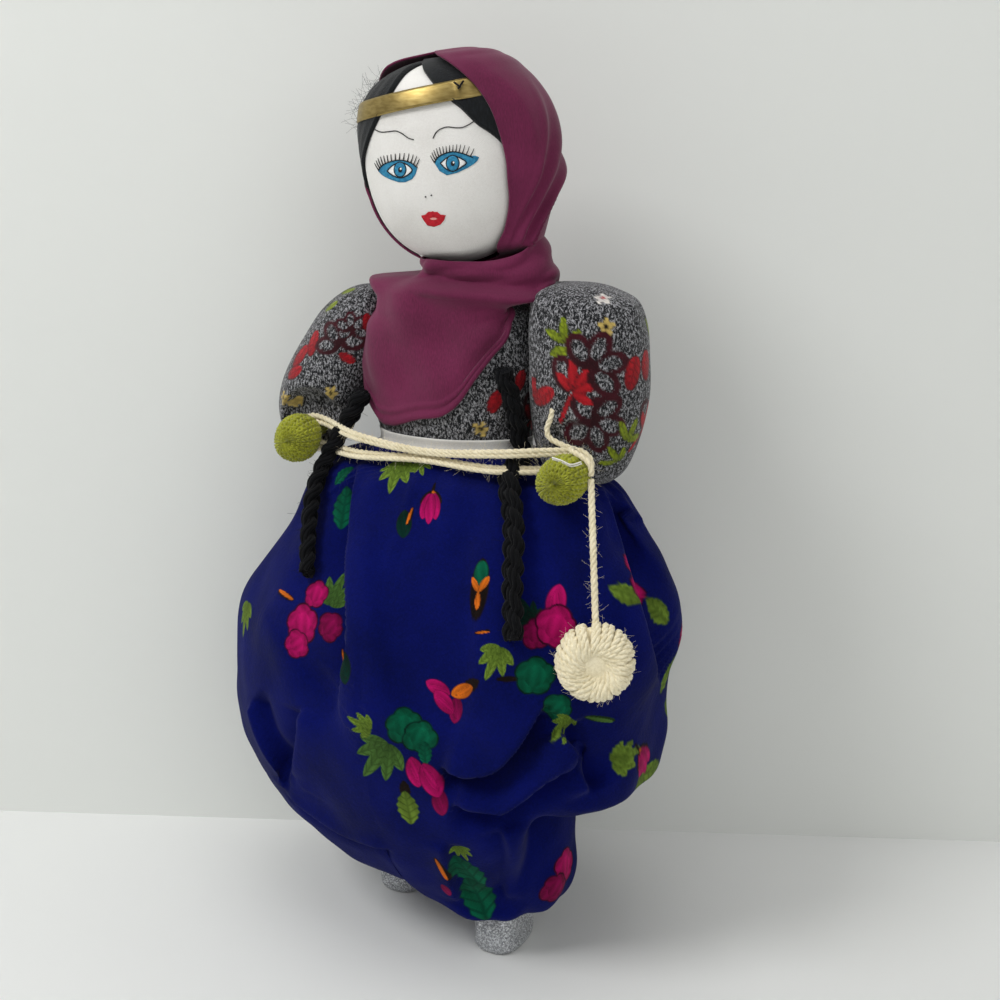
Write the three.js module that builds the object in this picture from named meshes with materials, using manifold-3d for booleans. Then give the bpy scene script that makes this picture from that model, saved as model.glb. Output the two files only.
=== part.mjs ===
// Stuffed rag doll in folk dress that holds a hank of yarn.
// Millimetres, +Z up, the doll stands on z = 0 and faces -Y, so its left side is +X.
import * as THREE from 'three';
import { mergeVertices } from 'three/addons/utils/BufferGeometryUtils.js';
import Module from 'manifold-3d';

const wasm = await Module();
wasm.setup();

// Heights along the body
const HIP_HEIGHT = 165;
const HIP_TO_WAIST = 56;
const WAIST_TO_SHOULDER = 55;
const SHOULDER_TO_CHIN = 39;
const HEAD_HEIGHT = 80;

// Head
const HEAD_WIDTH = 76;
const HEAD_DEPTH = 62;
const HEAD_ROLL = 9.5;
const HEAD_YAW = 7;
const FELT = 1.2;
const RIBBON = 0.6;
const RIBBON_WIDTH = 7.5;
const RIBBON_RISE = 24;
const FACE_WIDTH = 70;
const SCARF = 2.2;
const NECK_WIDTH = 25;
const NECK_DEPTH = 20;

// Trunk, blouse and arms
const CHEST_WIDTH = 70;
const CHEST_DEPTH = 45;
const WAIST_WIDTH = 64;
const WAIST_DEPTH = 41;
const HIP_WIDTH = 68;
const HIP_DEPTH = 44;
const TRUNK_RISE = 22;
const BODY_Y = 5;
const CLOTH = 1.2;
const BLOUSE_TUCK = 8;
const TAPE_WIDTH = 7;
const TAPE = 0.8;
const SLEEVE_WIDTH = 52;
const SLEEVE_RISE = 26;
const SLEEVE_DROP = 60;
const SLEEVE_LEAN = 6;
const SLEEVE_DEPTH = 45;
const SLEEVE_Y = 12;
const ARMHOLE = 18;
const HAND_WIDTH = 25;
const HAND_DEPTH = 20;
const HAND_RISE = 14;
const WRIST_WIDTH = 11.6;
const WRIST_LENGTH = 7.4;

// Trousers, legs and shoes
const BAG_WIDTH = 218;
const BAG_DEPTH = 149;
const BAG_DROP = 169;
const BAG_Y = 0.5;
const WOOL = 2.2;
const HEM_REACH = 100;
const LEG_WIDTH = 30;
const ANKLE_WIDTH = 19;
const HIP_SPREAD = 36;
const FOOT_SPREAD = 71;
const FOOT_STAGGER = 26;
const FOOT_Y = 1;
const LEG_SWING = 12;
const SHOE_WIDTH = 28;
const SHOE_LENGTH = 42;
const SHOE_HEIGHT = 24;
const SOLE = 14;

// Yarn and braids
const YARN = 2.6;
const YARN_PITCH = 3.5;
const HANK_LOOPS = 3;
const HANK_BOW = 17;
const TAIL = 24;
const BALL_WIDTH = 36;
const BALL_THICKNESS = 17;
const BALL_HOLE = 9;
const BALL_WRAPS = 16;
const BALL_TURN = 57;
const BALL_HEIGHT = 161;
const BRAID = 9;
const LEFT_BRAID_END = 166;
const RIGHT_BRAID_END = 180;

// Clearances
const GAP = 0.35;
const SPLIT_GAP = 0.5;
const SWING_GAP = 0.6;

// Places that follow from the sizes
const HIP_Z = HIP_HEIGHT;
const WAIST_Z = HIP_Z + HIP_TO_WAIST;
const SHOULDER_Z = WAIST_Z + WAIST_TO_SHOULDER;
const CHIN_Z = SHOULDER_Z + SHOULDER_TO_CHIN;
const HEAD_Z = CHIN_Z + HEAD_HEIGHT / 2;
const SPLIT_Z = CHIN_Z - 2;
const TRUNK_TOP = SHOULDER_Z + TRUNK_RISE;
const HAND_Z = WAIST_Z + HAND_RISE;
const ARM_X = CHEST_WIDTH / 2 + GAP + CLOTH + GAP;
const BODY_STEPS = 24;
const BAG_STEPS = 40;
const SIDES = [['left', 1], ['right', -1]];

const doll = new THREE.Group();
doll.name = 'rag_doll';

// Shared helpers

function smooth(from, to, value) {
  const share = THREE.MathUtils.clamp((value - from) / (to - from), 0, 1);
  return share * share * (3 - 2 * share);
}

function mix(a, b, share) {
  return a + (b - a) * share;
}

function along(table, key) {
  let i = 1;
  while (i < table.length - 1 && key > table[i][0]) i += 1;
  const [low, high] = [table[i - 1], table[i]];
  const share = THREE.MathUtils.clamp((key - low[0]) / (high[0] - low[0]), 0, 1);
  return low.slice(1).map((value, n) => mix(value, high[n + 1], share));
}

function solid(geometry) {
  const bare = new THREE.BufferGeometry();
  bare.setAttribute('position', geometry.attributes.position);
  bare.setIndex(geometry.index);
  const merged = mergeVertices(bare, 1e-4);
  const points = merged.attributes.position;
  const index = merged.index.array;
  const corner = [new THREE.Vector3(), new THREE.Vector3(), new THREE.Vector3()];
  const faces = [];
  let volume = 0;
  for (let i = 0; i < index.length; i += 3) {
    const [a, b, c] = [index[i], index[i + 1], index[i + 2]];
    if (a === b || b === c || c === a) continue;
    faces.push(a, b, c);
    [a, b, c].forEach((n, k) => corner[k].fromBufferAttribute(points, n));
    volume += corner[0].dot(corner[1].cross(corner[2]));
  }
  if (volume < 0) faces.reverse();
  return new wasm.Manifold(new wasm.Mesh({
    numProp: 3,
    vertProperties: new Float32Array(points.array),
    triVerts: new Uint32Array(faces),
  }));
}

function piece(name, body, color, roughness = 0.9, metalness = 0) {
  const data = body.getMesh();
  const geometry = new THREE.BufferGeometry();
  geometry.setAttribute('position', new THREE.BufferAttribute(new Float32Array(data.vertProperties), 3));
  geometry.setIndex(new THREE.BufferAttribute(new Uint32Array(data.triVerts), 1));
  geometry.computeVertexNormals();
  const material = new THREE.MeshStandardMaterial({ color, roughness, metalness });
  const mesh = new THREE.Mesh(geometry, material);
  mesh.name = name;
  doll.add(mesh);
}

// A profile of rows turned about Z; place puts each row's point at its angle from the front
function turned(rows, steps, place) {
  const outline = rows.map((row) => new THREE.Vector2(row[0], row[1]));
  const geometry = new THREE.LatheGeometry(outline, steps);
  const position = geometry.attributes.position;
  const spot = new THREE.Vector3();
  for (let i = 0; i < position.count; i += 1) {
    const step = Math.floor(i / rows.length) % steps;
    place(spot, rows[i % rows.length], (step * 2 * Math.PI) / steps);
    position.setXYZ(i, spot.x, spot.y, spot.z);
  }
  return solid(geometry);
}

// Rows of half width, height and half depth, set round an upright axis
function oval(x, y) {
  return (spot, [width, height, depth], angle) => {
    spot.set(x + width * Math.sin(angle), y - depth * Math.cos(angle), height);
  };
}

function shellRows(outer, inner) {
  const rows = outer.concat(inner.slice().reverse());
  return rows.concat([rows[0]]);
}

function rod(radius, length, steps, axis, centre) {
  const geometry = new THREE.CylinderGeometry(radius, radius, length, steps);
  if (axis === 'x') geometry.rotateZ(Math.PI / 2);
  if (axis === 'z') geometry.rotateX(Math.PI / 2);
  geometry.translate(...centre);
  return solid(geometry);
}

function block(size, centre, matrix) {
  const geometry = new THREE.BoxGeometry(...size);
  geometry.translate(...centre);
  if (matrix) geometry.applyMatrix4(matrix);
  return solid(geometry);
}

// A route that takes one step per given point, so tight bends keep their points
class Route extends THREE.Curve {
  constructor(points) {
    super();
    this.line = new THREE.CatmullRomCurve3(points, false, 'centripetal');
  }

  getPoint(share, target) {
    return this.line.getPoint(share, target);
  }

  getPointAt(share, target) {
    return this.getPoint(share, target);
  }

  getTangentAt(share, target) {
    return this.getTangent(share, target);
  }
}

function rope(points, width, sides) {
  const ring = [];
  for (let i = 0; i < sides; i += 1) {
    const angle = (i * 2 * Math.PI) / sides;
    ring.push(new THREE.Vector2(Math.cos(angle), Math.sin(angle)).multiplyScalar(width / 2));
  }
  return solid(new THREE.ExtrudeGeometry(new THREE.Shape(ring), {
    steps: points.length - 1,
    extrudePath: new Route(points),
    bevelEnabled: false,
  }));
}

// Trunk and blouse outlines: height, half width, half depth

const TRUNK_TABLE = [
  [HIP_Z + 4, HIP_WIDTH * 0.38, HIP_DEPTH * 0.38],
  [HIP_Z + 11, HIP_WIDTH * 0.48, HIP_DEPTH * 0.47],
  [HIP_Z + HIP_TO_WAIST * 0.5, HIP_WIDTH / 2, HIP_DEPTH / 2],
  [WAIST_Z - BLOUSE_TUCK, WAIST_WIDTH / 2, WAIST_DEPTH / 2],
  [WAIST_Z + TAPE_WIDTH, WAIST_WIDTH / 2, WAIST_DEPTH / 2],
  [WAIST_Z + WAIST_TO_SHOULDER * 0.5, CHEST_WIDTH * 0.49, CHEST_DEPTH * 0.49],
  [SHOULDER_Z, CHEST_WIDTH / 2, CHEST_DEPTH / 2],
  [SHOULDER_Z + TRUNK_RISE * 0.55, CHEST_WIDTH * 0.45, CHEST_DEPTH * 0.45],
  [SHOULDER_Z + TRUNK_RISE * 0.86, CHEST_WIDTH * 0.33, CHEST_DEPTH * 0.36],
  [TRUNK_TOP, NECK_WIDTH / 2 + 2, NECK_WIDTH / 2 + 1],
];

function trunkRow(height, grow) {
  const [width, depth] = along(TRUNK_TABLE, height);
  return [width + grow, height, depth + grow];
}

function trunk() {
  const rows = TRUNK_TABLE.map((row) => trunkRow(row[0], 0));
  const body = turned(
    [[0, rows[0][1], 0], ...rows, [0, TRUNK_TOP, 0]],
    BODY_STEPS,
    oval(0, BODY_Y),
  );
  const hips = rod(LEG_WIDTH / 2 + SWING_GAP, HIP_WIDTH * 2, 32, 'x', [0, BODY_Y, HIP_Z]);
  return body.subtract(hips);
}

function bodice() {
  const heights = TRUNK_TABLE.map((row) => row[0]).filter((z) => z >= WAIST_Z - BLOUSE_TUCK);
  const outer = heights.map((z) => trunkRow(z, GAP + CLOTH));
  const inner = heights.map((z) => trunkRow(z, GAP));
  return turned(shellRows(outer, inner), BODY_STEPS, oval(0, BODY_Y));
}

function waistTape() {
  const heights = [WAIST_Z + GAP, WAIST_Z + TAPE_WIDTH];
  const outer = heights.map((z) => trunkRow(z, GAP * 2 + CLOTH + TAPE));
  const inner = heights.map((z) => trunkRow(z, GAP * 2 + CLOTH));
  return turned(shellRows(outer, inner), BODY_STEPS, oval(0, BODY_Y));
}

function neck() {
  const base = TRUNK_TOP + GAP;
  const top = CHIN_Z + NECK_DEPTH;
  const wide = NECK_WIDTH / 2;
  const rows = [[0, base], [wide, base], [wide * 0.94, mix(base, top, 0.5)], [wide, top], [0, top]];
  return turned(rows.map(([r, z]) => [r, z, r]), 24, oval(0, BODY_Y));
}

// Head pieces share one egg, grown outward layer by layer

const HEAD_MATRIX = new THREE.Matrix4()
  .makeTranslation(0, 0, HEAD_Z)
  .multiply(new THREE.Matrix4().makeRotationZ(THREE.MathUtils.degToRad(HEAD_YAW)))
  .multiply(new THREE.Matrix4().makeRotationY(THREE.MathUtils.degToRad(-HEAD_ROLL)));

const EGG = [
  [0, -1], [0.36, -0.98], [0.64, -0.83], [0.87, -0.5], [1, -0.08],
  [1, 0.3], [0.9, 0.64], [0.67, 0.87], [0.36, 0.98], [0, 1],
];

function egg(grow) {
  const rows = EGG.map(([r, z]) => [
    r === 0 ? 0 : (r * HEAD_WIDTH) / 2 + grow,
    z * (HEAD_HEIGHT / 2 + grow),
    r === 0 ? 0 : (r * HEAD_DEPTH) / 2 + grow,
  ]);
  return turned(rows, 20, (spot, row, angle) => {
    oval(0, 0)(spot, row, angle);
    spot.applyMatrix4(HEAD_MATRIX);
  });
}

const HAIR_IN = GAP;
const HAIR_OUT = HAIR_IN + FELT;
const RIBBON_IN = HAIR_OUT + GAP;
const RIBBON_OUT = RIBBON_IN + RIBBON;
const HOOD_IN = RIBBON_OUT + SPLIT_GAP;

function neckHole(grow, height) {
  return rod(NECK_WIDTH / 2 + grow, height, 24, 'z', [0, BODY_Y, CHIN_Z + NECK_DEPTH + GAP - height / 2]);
}

function headCover() {
  return egg(0).subtract(egg(-CLOTH)).subtract(neckHole(SWING_GAP, 60));
}

function headStuffing() {
  return egg(-CLOTH - GAP).subtract(neckHole(GAP, 60));
}

// A flat outline in the head's own front view, pushed through the front half of the head
function frontPrism(outline, near, far) {
  const shape = new THREE.Shape(outline.map(([x, z]) => new THREE.Vector2(x, z)));
  const geometry = new THREE.ExtrudeGeometry(shape, { depth: far - near, bevelEnabled: false });
  geometry.rotateX(Math.PI / 2);
  geometry.translate(0, far, 0);
  geometry.applyMatrix4(HEAD_MATRIX);
  return solid(geometry);
}

function hair(side) {
  const top = HEAD_HEIGHT / 2 + 6;
  const wide = HEAD_WIDTH / 2 + 6;
  const edge = [[1, 37], [9, 28], [19, 17], [27, 5], [31, -8], [31.5, -18]];
  const outline = [[1, top], ...edge, [wide, -18], [wide, top]];
  const band = frontPrism(outline.map(([x, z]) => [x * side, z]), -HEAD_DEPTH, 3);
  return egg(HAIR_OUT).subtract(egg(HAIR_IN)).intersect(band);
}

function headband() {
  const slab = block(
    [HEAD_WIDTH * 2, HEAD_DEPTH, RIBBON_WIDTH],
    [0, -HEAD_DEPTH / 2 - 4, RIBBON_RISE],
    HEAD_MATRIX,
  );
  return egg(RIBBON_OUT).subtract(egg(RIBBON_IN)).intersect(slab);
}

function headbandStitch() {
  const points = [];
  for (let i = 0; i < 5; i += 1) {
    const angle = mix(0.42, 0.66, i / 4);
    const lift = RIBBON_OUT + 1;
    const z = RIBBON_RISE - 1 + i * 0.8;
    const [r] = along(EGG.map(([a, b]) => [b, a]), z / (HEAD_HEIGHT / 2 + lift));
    const x = ((r * HEAD_WIDTH) / 2 + lift) * Math.sin(angle);
    const y = -((r * HEAD_DEPTH) / 2 + lift) * Math.cos(angle);
    points.push(new THREE.Vector3(x, y, z).applyMatrix4(HEAD_MATRIX));
  }
  return rope(points, 0.7, 6);
}

const HOOD_TABLE = [
  [-56, 0.98], [-44, 0.98], [-30, 0.99], [-16, 1], [-3, 1], [12, 1], [26, 0.89], [35, 0.68], [40.5, 0.36],
];

// The scarf falls straight at the doll's left and back, and is drawn in behind its right jaw
function hoodRow(height, share, grow) {
  return [share, height, grow];
}

function hoodPlace(spot, [share, height, grow], angle) {
  const tuck = smooth(-12, -44, height) * smooth(0.5, -0.7, Math.sin(angle));
  const back = smooth(0.1, -1, Math.cos(angle));
  const fold = 1 + 0.03 * Math.cos(angle * 9) * smooth(10, -40, height) * back;
  const wide = (share === 0 ? 0 : share * (HEAD_WIDTH / 2) + grow) * mix(1, 0.66, tuck) * fold;
  const deep = wide * mix(HEAD_DEPTH / HEAD_WIDTH + 0.03, 1, back);
  const stretch = height > 0 ? (HEAD_HEIGHT / 2 + grow) / (HEAD_HEIGHT / 2) : 1;
  spot.set(wide * Math.sin(angle), -deep * Math.cos(angle), height * stretch);
  spot.applyMatrix4(HEAD_MATRIX);
}

function hoodBody(grow) {
  const rows = HOOD_TABLE.map(([height, share]) => hoodRow(height, share, grow));
  const base = hoodRow(HOOD_TABLE[0][0], 0, grow);
  const crown = hoodRow(HEAD_HEIGHT / 2, 0, grow);
  const spread = [base, ...rows, crown].map((row, i) => [row[0] === 0 ? 0 : 1, i, row]);
  return turned(spread, 28, (spot, row, angle) => hoodPlace(spot, row[2], angle));
}

function scarfHood() {
  const half = FACE_WIDTH / 2;
  const right = [[0, 41], [10, 38.5], [half * 0.61, 30], [half * 0.88, 15], [half, 0], [half, -15],
    [half * 0.91, -28], [half * 0.82, -38], [half * 0.8, -70]];
  const left = right.slice(1).reverse().map(([x, z]) => [-x, z]);
  const face = frontPrism(right.concat(left), -HEAD_DEPTH * 1.5, -3);
  const below = block([400, 400, 200], [0, 0, SPLIT_Z - 100]);
  return hoodBody(HOOD_IN + SCARF).subtract(hoodBody(HOOD_IN)).subtract(face).subtract(below);
}

// The neck wrap and chest panel: one cloth from the collar's top to its hem

function bibHem(angle) {
  const turn = THREE.MathUtils.radToDeg(Math.atan2(Math.sin(angle), Math.cos(angle)));
  const front = WAIST_Z + 24;
  const shoulder = SHOULDER_Z + 19;
  const back = SHOULDER_Z + 4;
  if (turn < -100 || turn > 100) return mix(shoulder, back, smooth(100, 150, Math.abs(turn)));
  if (turn < 0) return mix(front, shoulder, smooth(-34, -70, turn));
  return mix(front, shoulder, smooth(6, 76, turn));
}

function bibTop(angle) {
  const side = smooth(-0.2, 1, Math.sin(angle));
  const back = smooth(-0.1, -1, Math.cos(angle));
  const wide = 21.5 + 12 * side;
  return [wide * Math.sin(angle), BODY_Y - (20.5 + 12 * back) * Math.cos(angle)];
}

function bibPlace(spot, [share, grow], angle) {
  const top = SPLIT_Z - SPLIT_GAP;
  const lap = TRUNK_TOP + 3;
  const [topX, topY] = bibTop(angle);
  const drop = Math.max(0, (share - 0.34) / 0.66);
  const height = share < 0.34 ? mix(top, lap, share / 0.34) : mix(lap, bibHem(angle), drop);
  const [wide, , deep] = trunkRow(Math.min(height, TRUNK_TOP), GAP + CLOTH);
  const lay = smooth(0.12, 0.5, share);
  const x = mix(topX, wide * Math.sin(angle), lay) + grow * Math.sin(angle);
  const y = mix(topY, BODY_Y - deep * Math.cos(angle), lay) - grow * Math.cos(angle);
  spot.set(x, y, height);
}

function scarfBib() {
  const shares = [0, 0.18, 0.34, 0.46, 0.62, 0.8, 1];
  const outer = shares.map((share) => [share, SCARF + 1]);
  const inner = shares.map((share) => [share, 1]);
  const rows = shellRows(outer, inner).map((row, i) => [1 + (i % 2), i, row]);
  rows[rows.length - 1] = rows[0];
  const cloth = turned(rows, BODY_STEPS, (spot, row, angle) => bibPlace(spot, row[2], angle));
  const blouse = TRUNK_TABLE.map((row) => trunkRow(row[0], GAP * 2 + CLOTH));
  blouse[blouse.length - 1][1] += GAP;
  const full = [[0, blouse[0][1], 0], ...blouse, [0, TRUNK_TOP + GAP, 0]];
  const under = turned(full, BODY_STEPS, oval(0, BODY_Y));
  return cloth.subtract(under);
}

// Arms: shares of the sleeve's half width down from the shoulder

const SLEEVE_TABLE = [
  [0, 0], [0.42, 0.025], [0.73, 0.12], [0.9, 0.29], [1, 0.51],
  [1, 0.69], [0.9, 0.84], [0.65, 0.95], [0.3, 0.995], [0, 1],
];

function sleeveX(height) {
  const share = (SHOULDER_Z + SLEEVE_RISE - height) / (SLEEVE_RISE + SLEEVE_DROP);
  return ARM_X + SLEEVE_WIDTH * 0.4 + SLEEVE_LEAN * Math.sqrt(Math.max(0, share));
}

function sleeveBody(side, grow) {
  const top = SHOULDER_Z + SLEEVE_RISE + grow;
  const base = SHOULDER_Z - SLEEVE_DROP - grow;
  const rows = SLEEVE_TABLE.map(([r, share]) => [
    r === 0 ? 0 : (r * SLEEVE_WIDTH) / 2 + grow,
    mix(top, base, share),
    r === 0 ? 0 : (r * SLEEVE_DEPTH) / 2 + grow,
  ]);
  const body = turned(rows, 18, (spot, row, angle) => {
    oval(sleeveX(row[1]), SLEEVE_Y)(spot, row, angle);
    spot.x *= side;
  });
  const inside = block([100, 300, 300], [side * (ARM_X - Math.min(grow, 0) - 50), 0, SHOULDER_Z]);
  return body.subtract(inside);
}

function sleeve(side) {
  const hole = rod(ARMHOLE / 2, 30, 24, 'x', [side * ARM_X, SLEEVE_Y, SHOULDER_Z]);
  return sleeveBody(side, 0).subtract(sleeveBody(side, -CLOTH)).subtract(hole);
}

function arm(side) {
  const stub = rod(ARMHOLE / 2 - GAP, 6, 24, 'x', [side * (ARM_X + 3), SLEEVE_Y, SHOULDER_Z]);
  return sleeveBody(side, -CLOTH - GAP).add(stub);
}

const WRIST_X = sleeveX(HAND_Z) + 2;
const WRIST_Y = SLEEVE_Y - SLEEVE_DEPTH / 2;
const HAND_Y = WRIST_Y - WRIST_LENGTH - HAND_DEPTH / 2;

function hand(side) {
  const ball = new THREE.SphereGeometry(1, 16, 10);
  ball.scale(HAND_WIDTH / 2, HAND_DEPTH / 2, HAND_WIDTH * 0.48);
  ball.translate(side * WRIST_X, HAND_Y, HAND_Z);
  const length = WRIST_LENGTH + HAND_DEPTH;
  const wrist = rod(WRIST_WIDTH / 2, length, 18, 'y', [side * WRIST_X, HAND_Y + length / 2, HAND_Z]);
  return solid(ball).add(wrist).subtract(sleeveBody(side, GAP));
}

// Yarn hank: one line wound round both wrists and drawn in between them

const LOOP_IN = WRIST_WIDTH / 2 + YARN / 2 + GAP;
const PIVOT = new THREE.Vector3(WRIST_X + HAND_WIDTH / 2 + YARN / 2 + 0.7, HAND_Y + 1, HAND_Z);

function hankPoint(turn, share) {
  const half = HANK_LOOPS / 2;
  const radius = LOOP_IN + YARN_PITCH * Math.abs(turn - half);
  const layer = YARN_PITCH * smooth(half - 0.2, half + 0.2, turn);
  let x;
  let z;
  if (share < 0.25) {
    const angle = Math.PI / 2 - share * 4 * Math.PI;
    x = WRIST_X + radius * Math.cos(angle);
    z = radius * Math.sin(angle);
  } else if (share < 0.5) {
    x = WRIST_X * Math.cos((share - 0.25) * 4 * Math.PI);
    z = -1;
  } else if (share < 0.75) {
    const angle = -Math.PI / 2 - (share - 0.5) * 4 * Math.PI;
    x = -WRIST_X + radius * Math.cos(angle);
    z = radius * Math.sin(angle);
  } else {
    x = -WRIST_X * Math.cos((share - 0.75) * 4 * Math.PI);
    z = 1;
  }
  if (Math.abs(x) < WRIST_X && Math.abs(z) === 1) {
    const waist = YARN * 0.72 + (radius - LOOP_IN);
    z *= mix(waist, radius, smooth(0, WRIST_X, Math.abs(x)));
  } else if (Math.abs(z) === 1) {
    z *= radius;
  }
  const bow = HANK_BOW * (1 - smooth(WRIST_X * 0.5, WRIST_X, Math.abs(x)));
  const rest = WRIST_Y - YARN / 2 - GAP;
  return new THREE.Vector3(x, rest - layer - bow, HAND_Z + z);
}

function hankPoints() {
  const steps = 24;
  const points = [];
  const lead = hankPoint(0, 0);
  const tail = [[-9.5, TAIL], [-10.5, TAIL * 0.75], [-12, TAIL * 0.5], [-11, TAIL * 0.25], [-5, 1.4]];
  for (const [x, z] of tail) points.push(lead.clone().add(new THREE.Vector3(x, 0, z)));
  for (let i = 0; i <= HANK_LOOPS * steps; i += 1) {
    const turn = i / steps;
    points.push(hankPoint(turn, turn % 1));
  }
  const over = HAND_WIDTH * 0.48 + YARN / 2 + 1;
  const leave = hankPoint(HANK_LOOPS, 0).add(new THREE.Vector3(1.5, -1.5, 1));
  const top = new THREE.Vector3(WRIST_X + 4, HAND_Y + HAND_DEPTH * 0.3, HAND_Z + over);
  const shoulder = new THREE.Vector3(WRIST_X + HAND_WIDTH * 0.42, HAND_Y + 1.5, HAND_Z + over * 0.72);
  const down = PIVOT.clone().add(new THREE.Vector3(0, 0, YARN * 1.7 + GAP));
  const end = PIVOT.clone().add(new THREE.Vector3(0, 0, YARN / 2 + GAP));
  return points.concat([leave, top, shoulder, down, end]);
}

function leastSelfGap(points, width, apart) {
  let least = Infinity;
  for (let i = 0; i < points.length; i += 1) {
    for (let j = i + apart; j < points.length; j += 1) {
      least = Math.min(least, points[i].distanceTo(points[j]) - width);
    }
  }
  return least;
}

function yarnHank() {
  const points = hankPoints();
  const fine = new Route(points).getPoints(points.length * 4);
  console.log('yarn_hank least gap to itself', leastSelfGap(fine, YARN, 24).toFixed(2), 'mm');
  return rope(points, YARN, 6);
}

function handThread() {
  const rise = HAND_WIDTH * 0.48;
  const front = HAND_Y - HAND_DEPTH * 0.3;
  const points = [
    new THREE.Vector3(WRIST_X + 1, front, HAND_Z + rise * 0.8 + 0.9),
    new THREE.Vector3(WRIST_X + 5, front, HAND_Z + rise * 0.71 + 0.9),
    new THREE.Vector3(WRIST_X + 10, front - 1, HAND_Z + rise * 0.7),
    new THREE.Vector3(WRIST_X + 15, front - 2, HAND_Z + rise * 0.85),
  ];
  return rope(points, 0.9, 6);
}

// Line of each leg from hip to ankle

const FOOT_TOP = SOLE + GAP;
const ANKLE_Z = SHOE_HEIGHT + SPLIT_GAP;

function legSpot(side, height) {
  const share = THREE.MathUtils.clamp((HIP_Z - height) / (HIP_Z - ANKLE_Z), 0, 1);
  const x = mix(HIP_SPREAD / 2, FOOT_SPREAD / 2, share);
  const y = mix(BODY_Y, FOOT_Y - (side * FOOT_STAGGER) / 2, share);
  return [side * x, y];
}

// Trousers: share of the drop, then shares of the width at the doll's right and left, and of the depth

const WAIST_CLEAR = GAP * 2 + CLOTH + WOOL;
const WAIST_HALF = (WAIST_WIDTH / 2 + WAIST_CLEAR) / BAG_WIDTH;
const BAG_TABLE = [
  [0, WAIST_HALF, WAIST_HALF, (WAIST_DEPTH / 2 + WAIST_CLEAR) / BAG_DEPTH],
  [0.03, 0.215, 0.215, 0.225],
  [0.05, 0.32, 0.338, 0.282],
  [0.107, 0.347, 0.395, 0.326],
  [0.183, 0.371, 0.436, 0.376],
  [0.272, 0.418, 0.48, 0.423],
  [0.367, 0.466, 0.5025, 0.46],
  [0.45, 0.49, 0.49, 0.482],
  [0.55, 0.4985, 0.465, 0.498],
  [0.66, 0.5025, 0.458, 0.5],
  [0.76, 0.499, 0.451, 0.488],
  [0.835, 0.488, 0.434, 0.468],
  [0.87, 0.476, 0.4, 0.455],
  [0.905, 0.465, 0.3, 0.44],
  [1, 0.4, 0.2, 0.39],
];

function bagPoint(angle, share, grow) {
  const [right, left, depth] = along(BAG_TABLE, share);
  const open = smooth(0, 0.2, share) * smooth(1.25, 0.8, share);
  const pleat = 1 + open * (0.014 * Math.cos(angle * 10) + 0.01 * Math.cos(angle * 6));
  const width = Math.sin(angle) < 0 ? right : left;
  const y = mix(BODY_Y, BAG_Y, smooth(0, 0.3, share));
  return new THREE.Vector3(
    (width * BAG_WIDTH * pleat + grow) * Math.sin(angle),
    y - (depth * BAG_DEPTH * pleat + grow) * Math.cos(angle),
    WAIST_Z - share * BAG_DROP,
  );
}

function onBag(angle, share, lift) {
  const spot = bagPoint(angle, share, 0);
  const aside = bagPoint(angle + 0.02, share, 0).sub(spot);
  const down = bagPoint(angle, share + 0.02, 0).sub(spot);
  const out = down.cross(aside).normalize();
  if (out.x * Math.sin(angle) - out.y * Math.cos(angle) < 0) out.negate();
  return spot.addScaledVector(out, lift);
}

function hemDrum(grow) {
  return rod(HEM_REACH + grow, BAG_WIDTH * 2, 96, 'x', [0, BODY_Y, HIP_Z]);
}

function bagBody(grow, top, steps) {
  const rows = BAG_TABLE.map(([share], i) => [1, i + 1, share, WAIST_Z - share * BAG_DROP]);
  const first = [1, 0, 0, top];
  const last = rows[rows.length - 1];
  const full = [[0, 0, 0, top], first, ...rows, [0, rows.length, last[2], last[3]]];
  return turned(full, steps, (spot, [out, , share, height], angle) => {
    spot.copy(bagPoint(angle, share, grow));
    if (out === 0) spot.set(0, BAG_Y, 0);
    spot.z = height;
  });
}

// Each leg swings through a slot in the trousers' floor
function legSlot(side) {
  const [x, y] = legSpot(side, HIP_Z - HEM_REACH);
  const half = LEG_WIDTH * 0.44;
  const reach = HEM_REACH * Math.sin(THREE.MathUtils.degToRad(LEG_SWING)) + 2;
  const outline = new THREE.Shape();
  outline.absarc(x, y + reach, half, 0, Math.PI, false);
  outline.absarc(x, y - reach, half, Math.PI, 2 * Math.PI, false);
  const geometry = new THREE.ExtrudeGeometry(outline, { depth: 80, bevelEnabled: false, curveSegments: 8 });
  geometry.translate(0, 0, HIP_Z - HEM_REACH - 20);
  return solid(geometry);
}

function trousersBag() {
  const outer = bagBody(0, WAIST_Z, BAG_STEPS).intersect(hemDrum(0));
  const inner = bagBody(-WOOL, WAIST_Z + 5, BAG_STEPS / 2).intersect(hemDrum(-WOOL));
  return outer.subtract(inner).subtract(legSlot(1)).subtract(legSlot(-1));
}

// Legs inside the trousers

const LEG_TABLE = [
  [FOOT_TOP, ANKLE_WIDTH / 2],
  [ANKLE_Z, ANKLE_WIDTH / 2],
  [HIP_Z * 0.6, LEG_WIDTH * 0.44],
  [HIP_Z - LEG_WIDTH * 0.4, LEG_WIDTH * 0.48],
  [HIP_Z, LEG_WIDTH * 0.5],
  [HIP_Z + LEG_WIDTH * 0.25, LEG_WIDTH * 0.43],
  [HIP_Z + LEG_WIDTH * 0.43, LEG_WIDTH * 0.25],
];

function leg(side, grow = 0) {
  const rows = LEG_TABLE.map(([height, r]) => [r + grow, height]);
  const full = [[0, FOOT_TOP], ...rows, [0, HIP_Z + LEG_WIDTH / 2]];
  return turned(full, 16, (spot, [r, height], angle) => {
    const [x, y] = legSpot(side, height);
    spot.set(x + r * Math.sin(angle), y - r * Math.cos(angle), height);
  });
}

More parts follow.
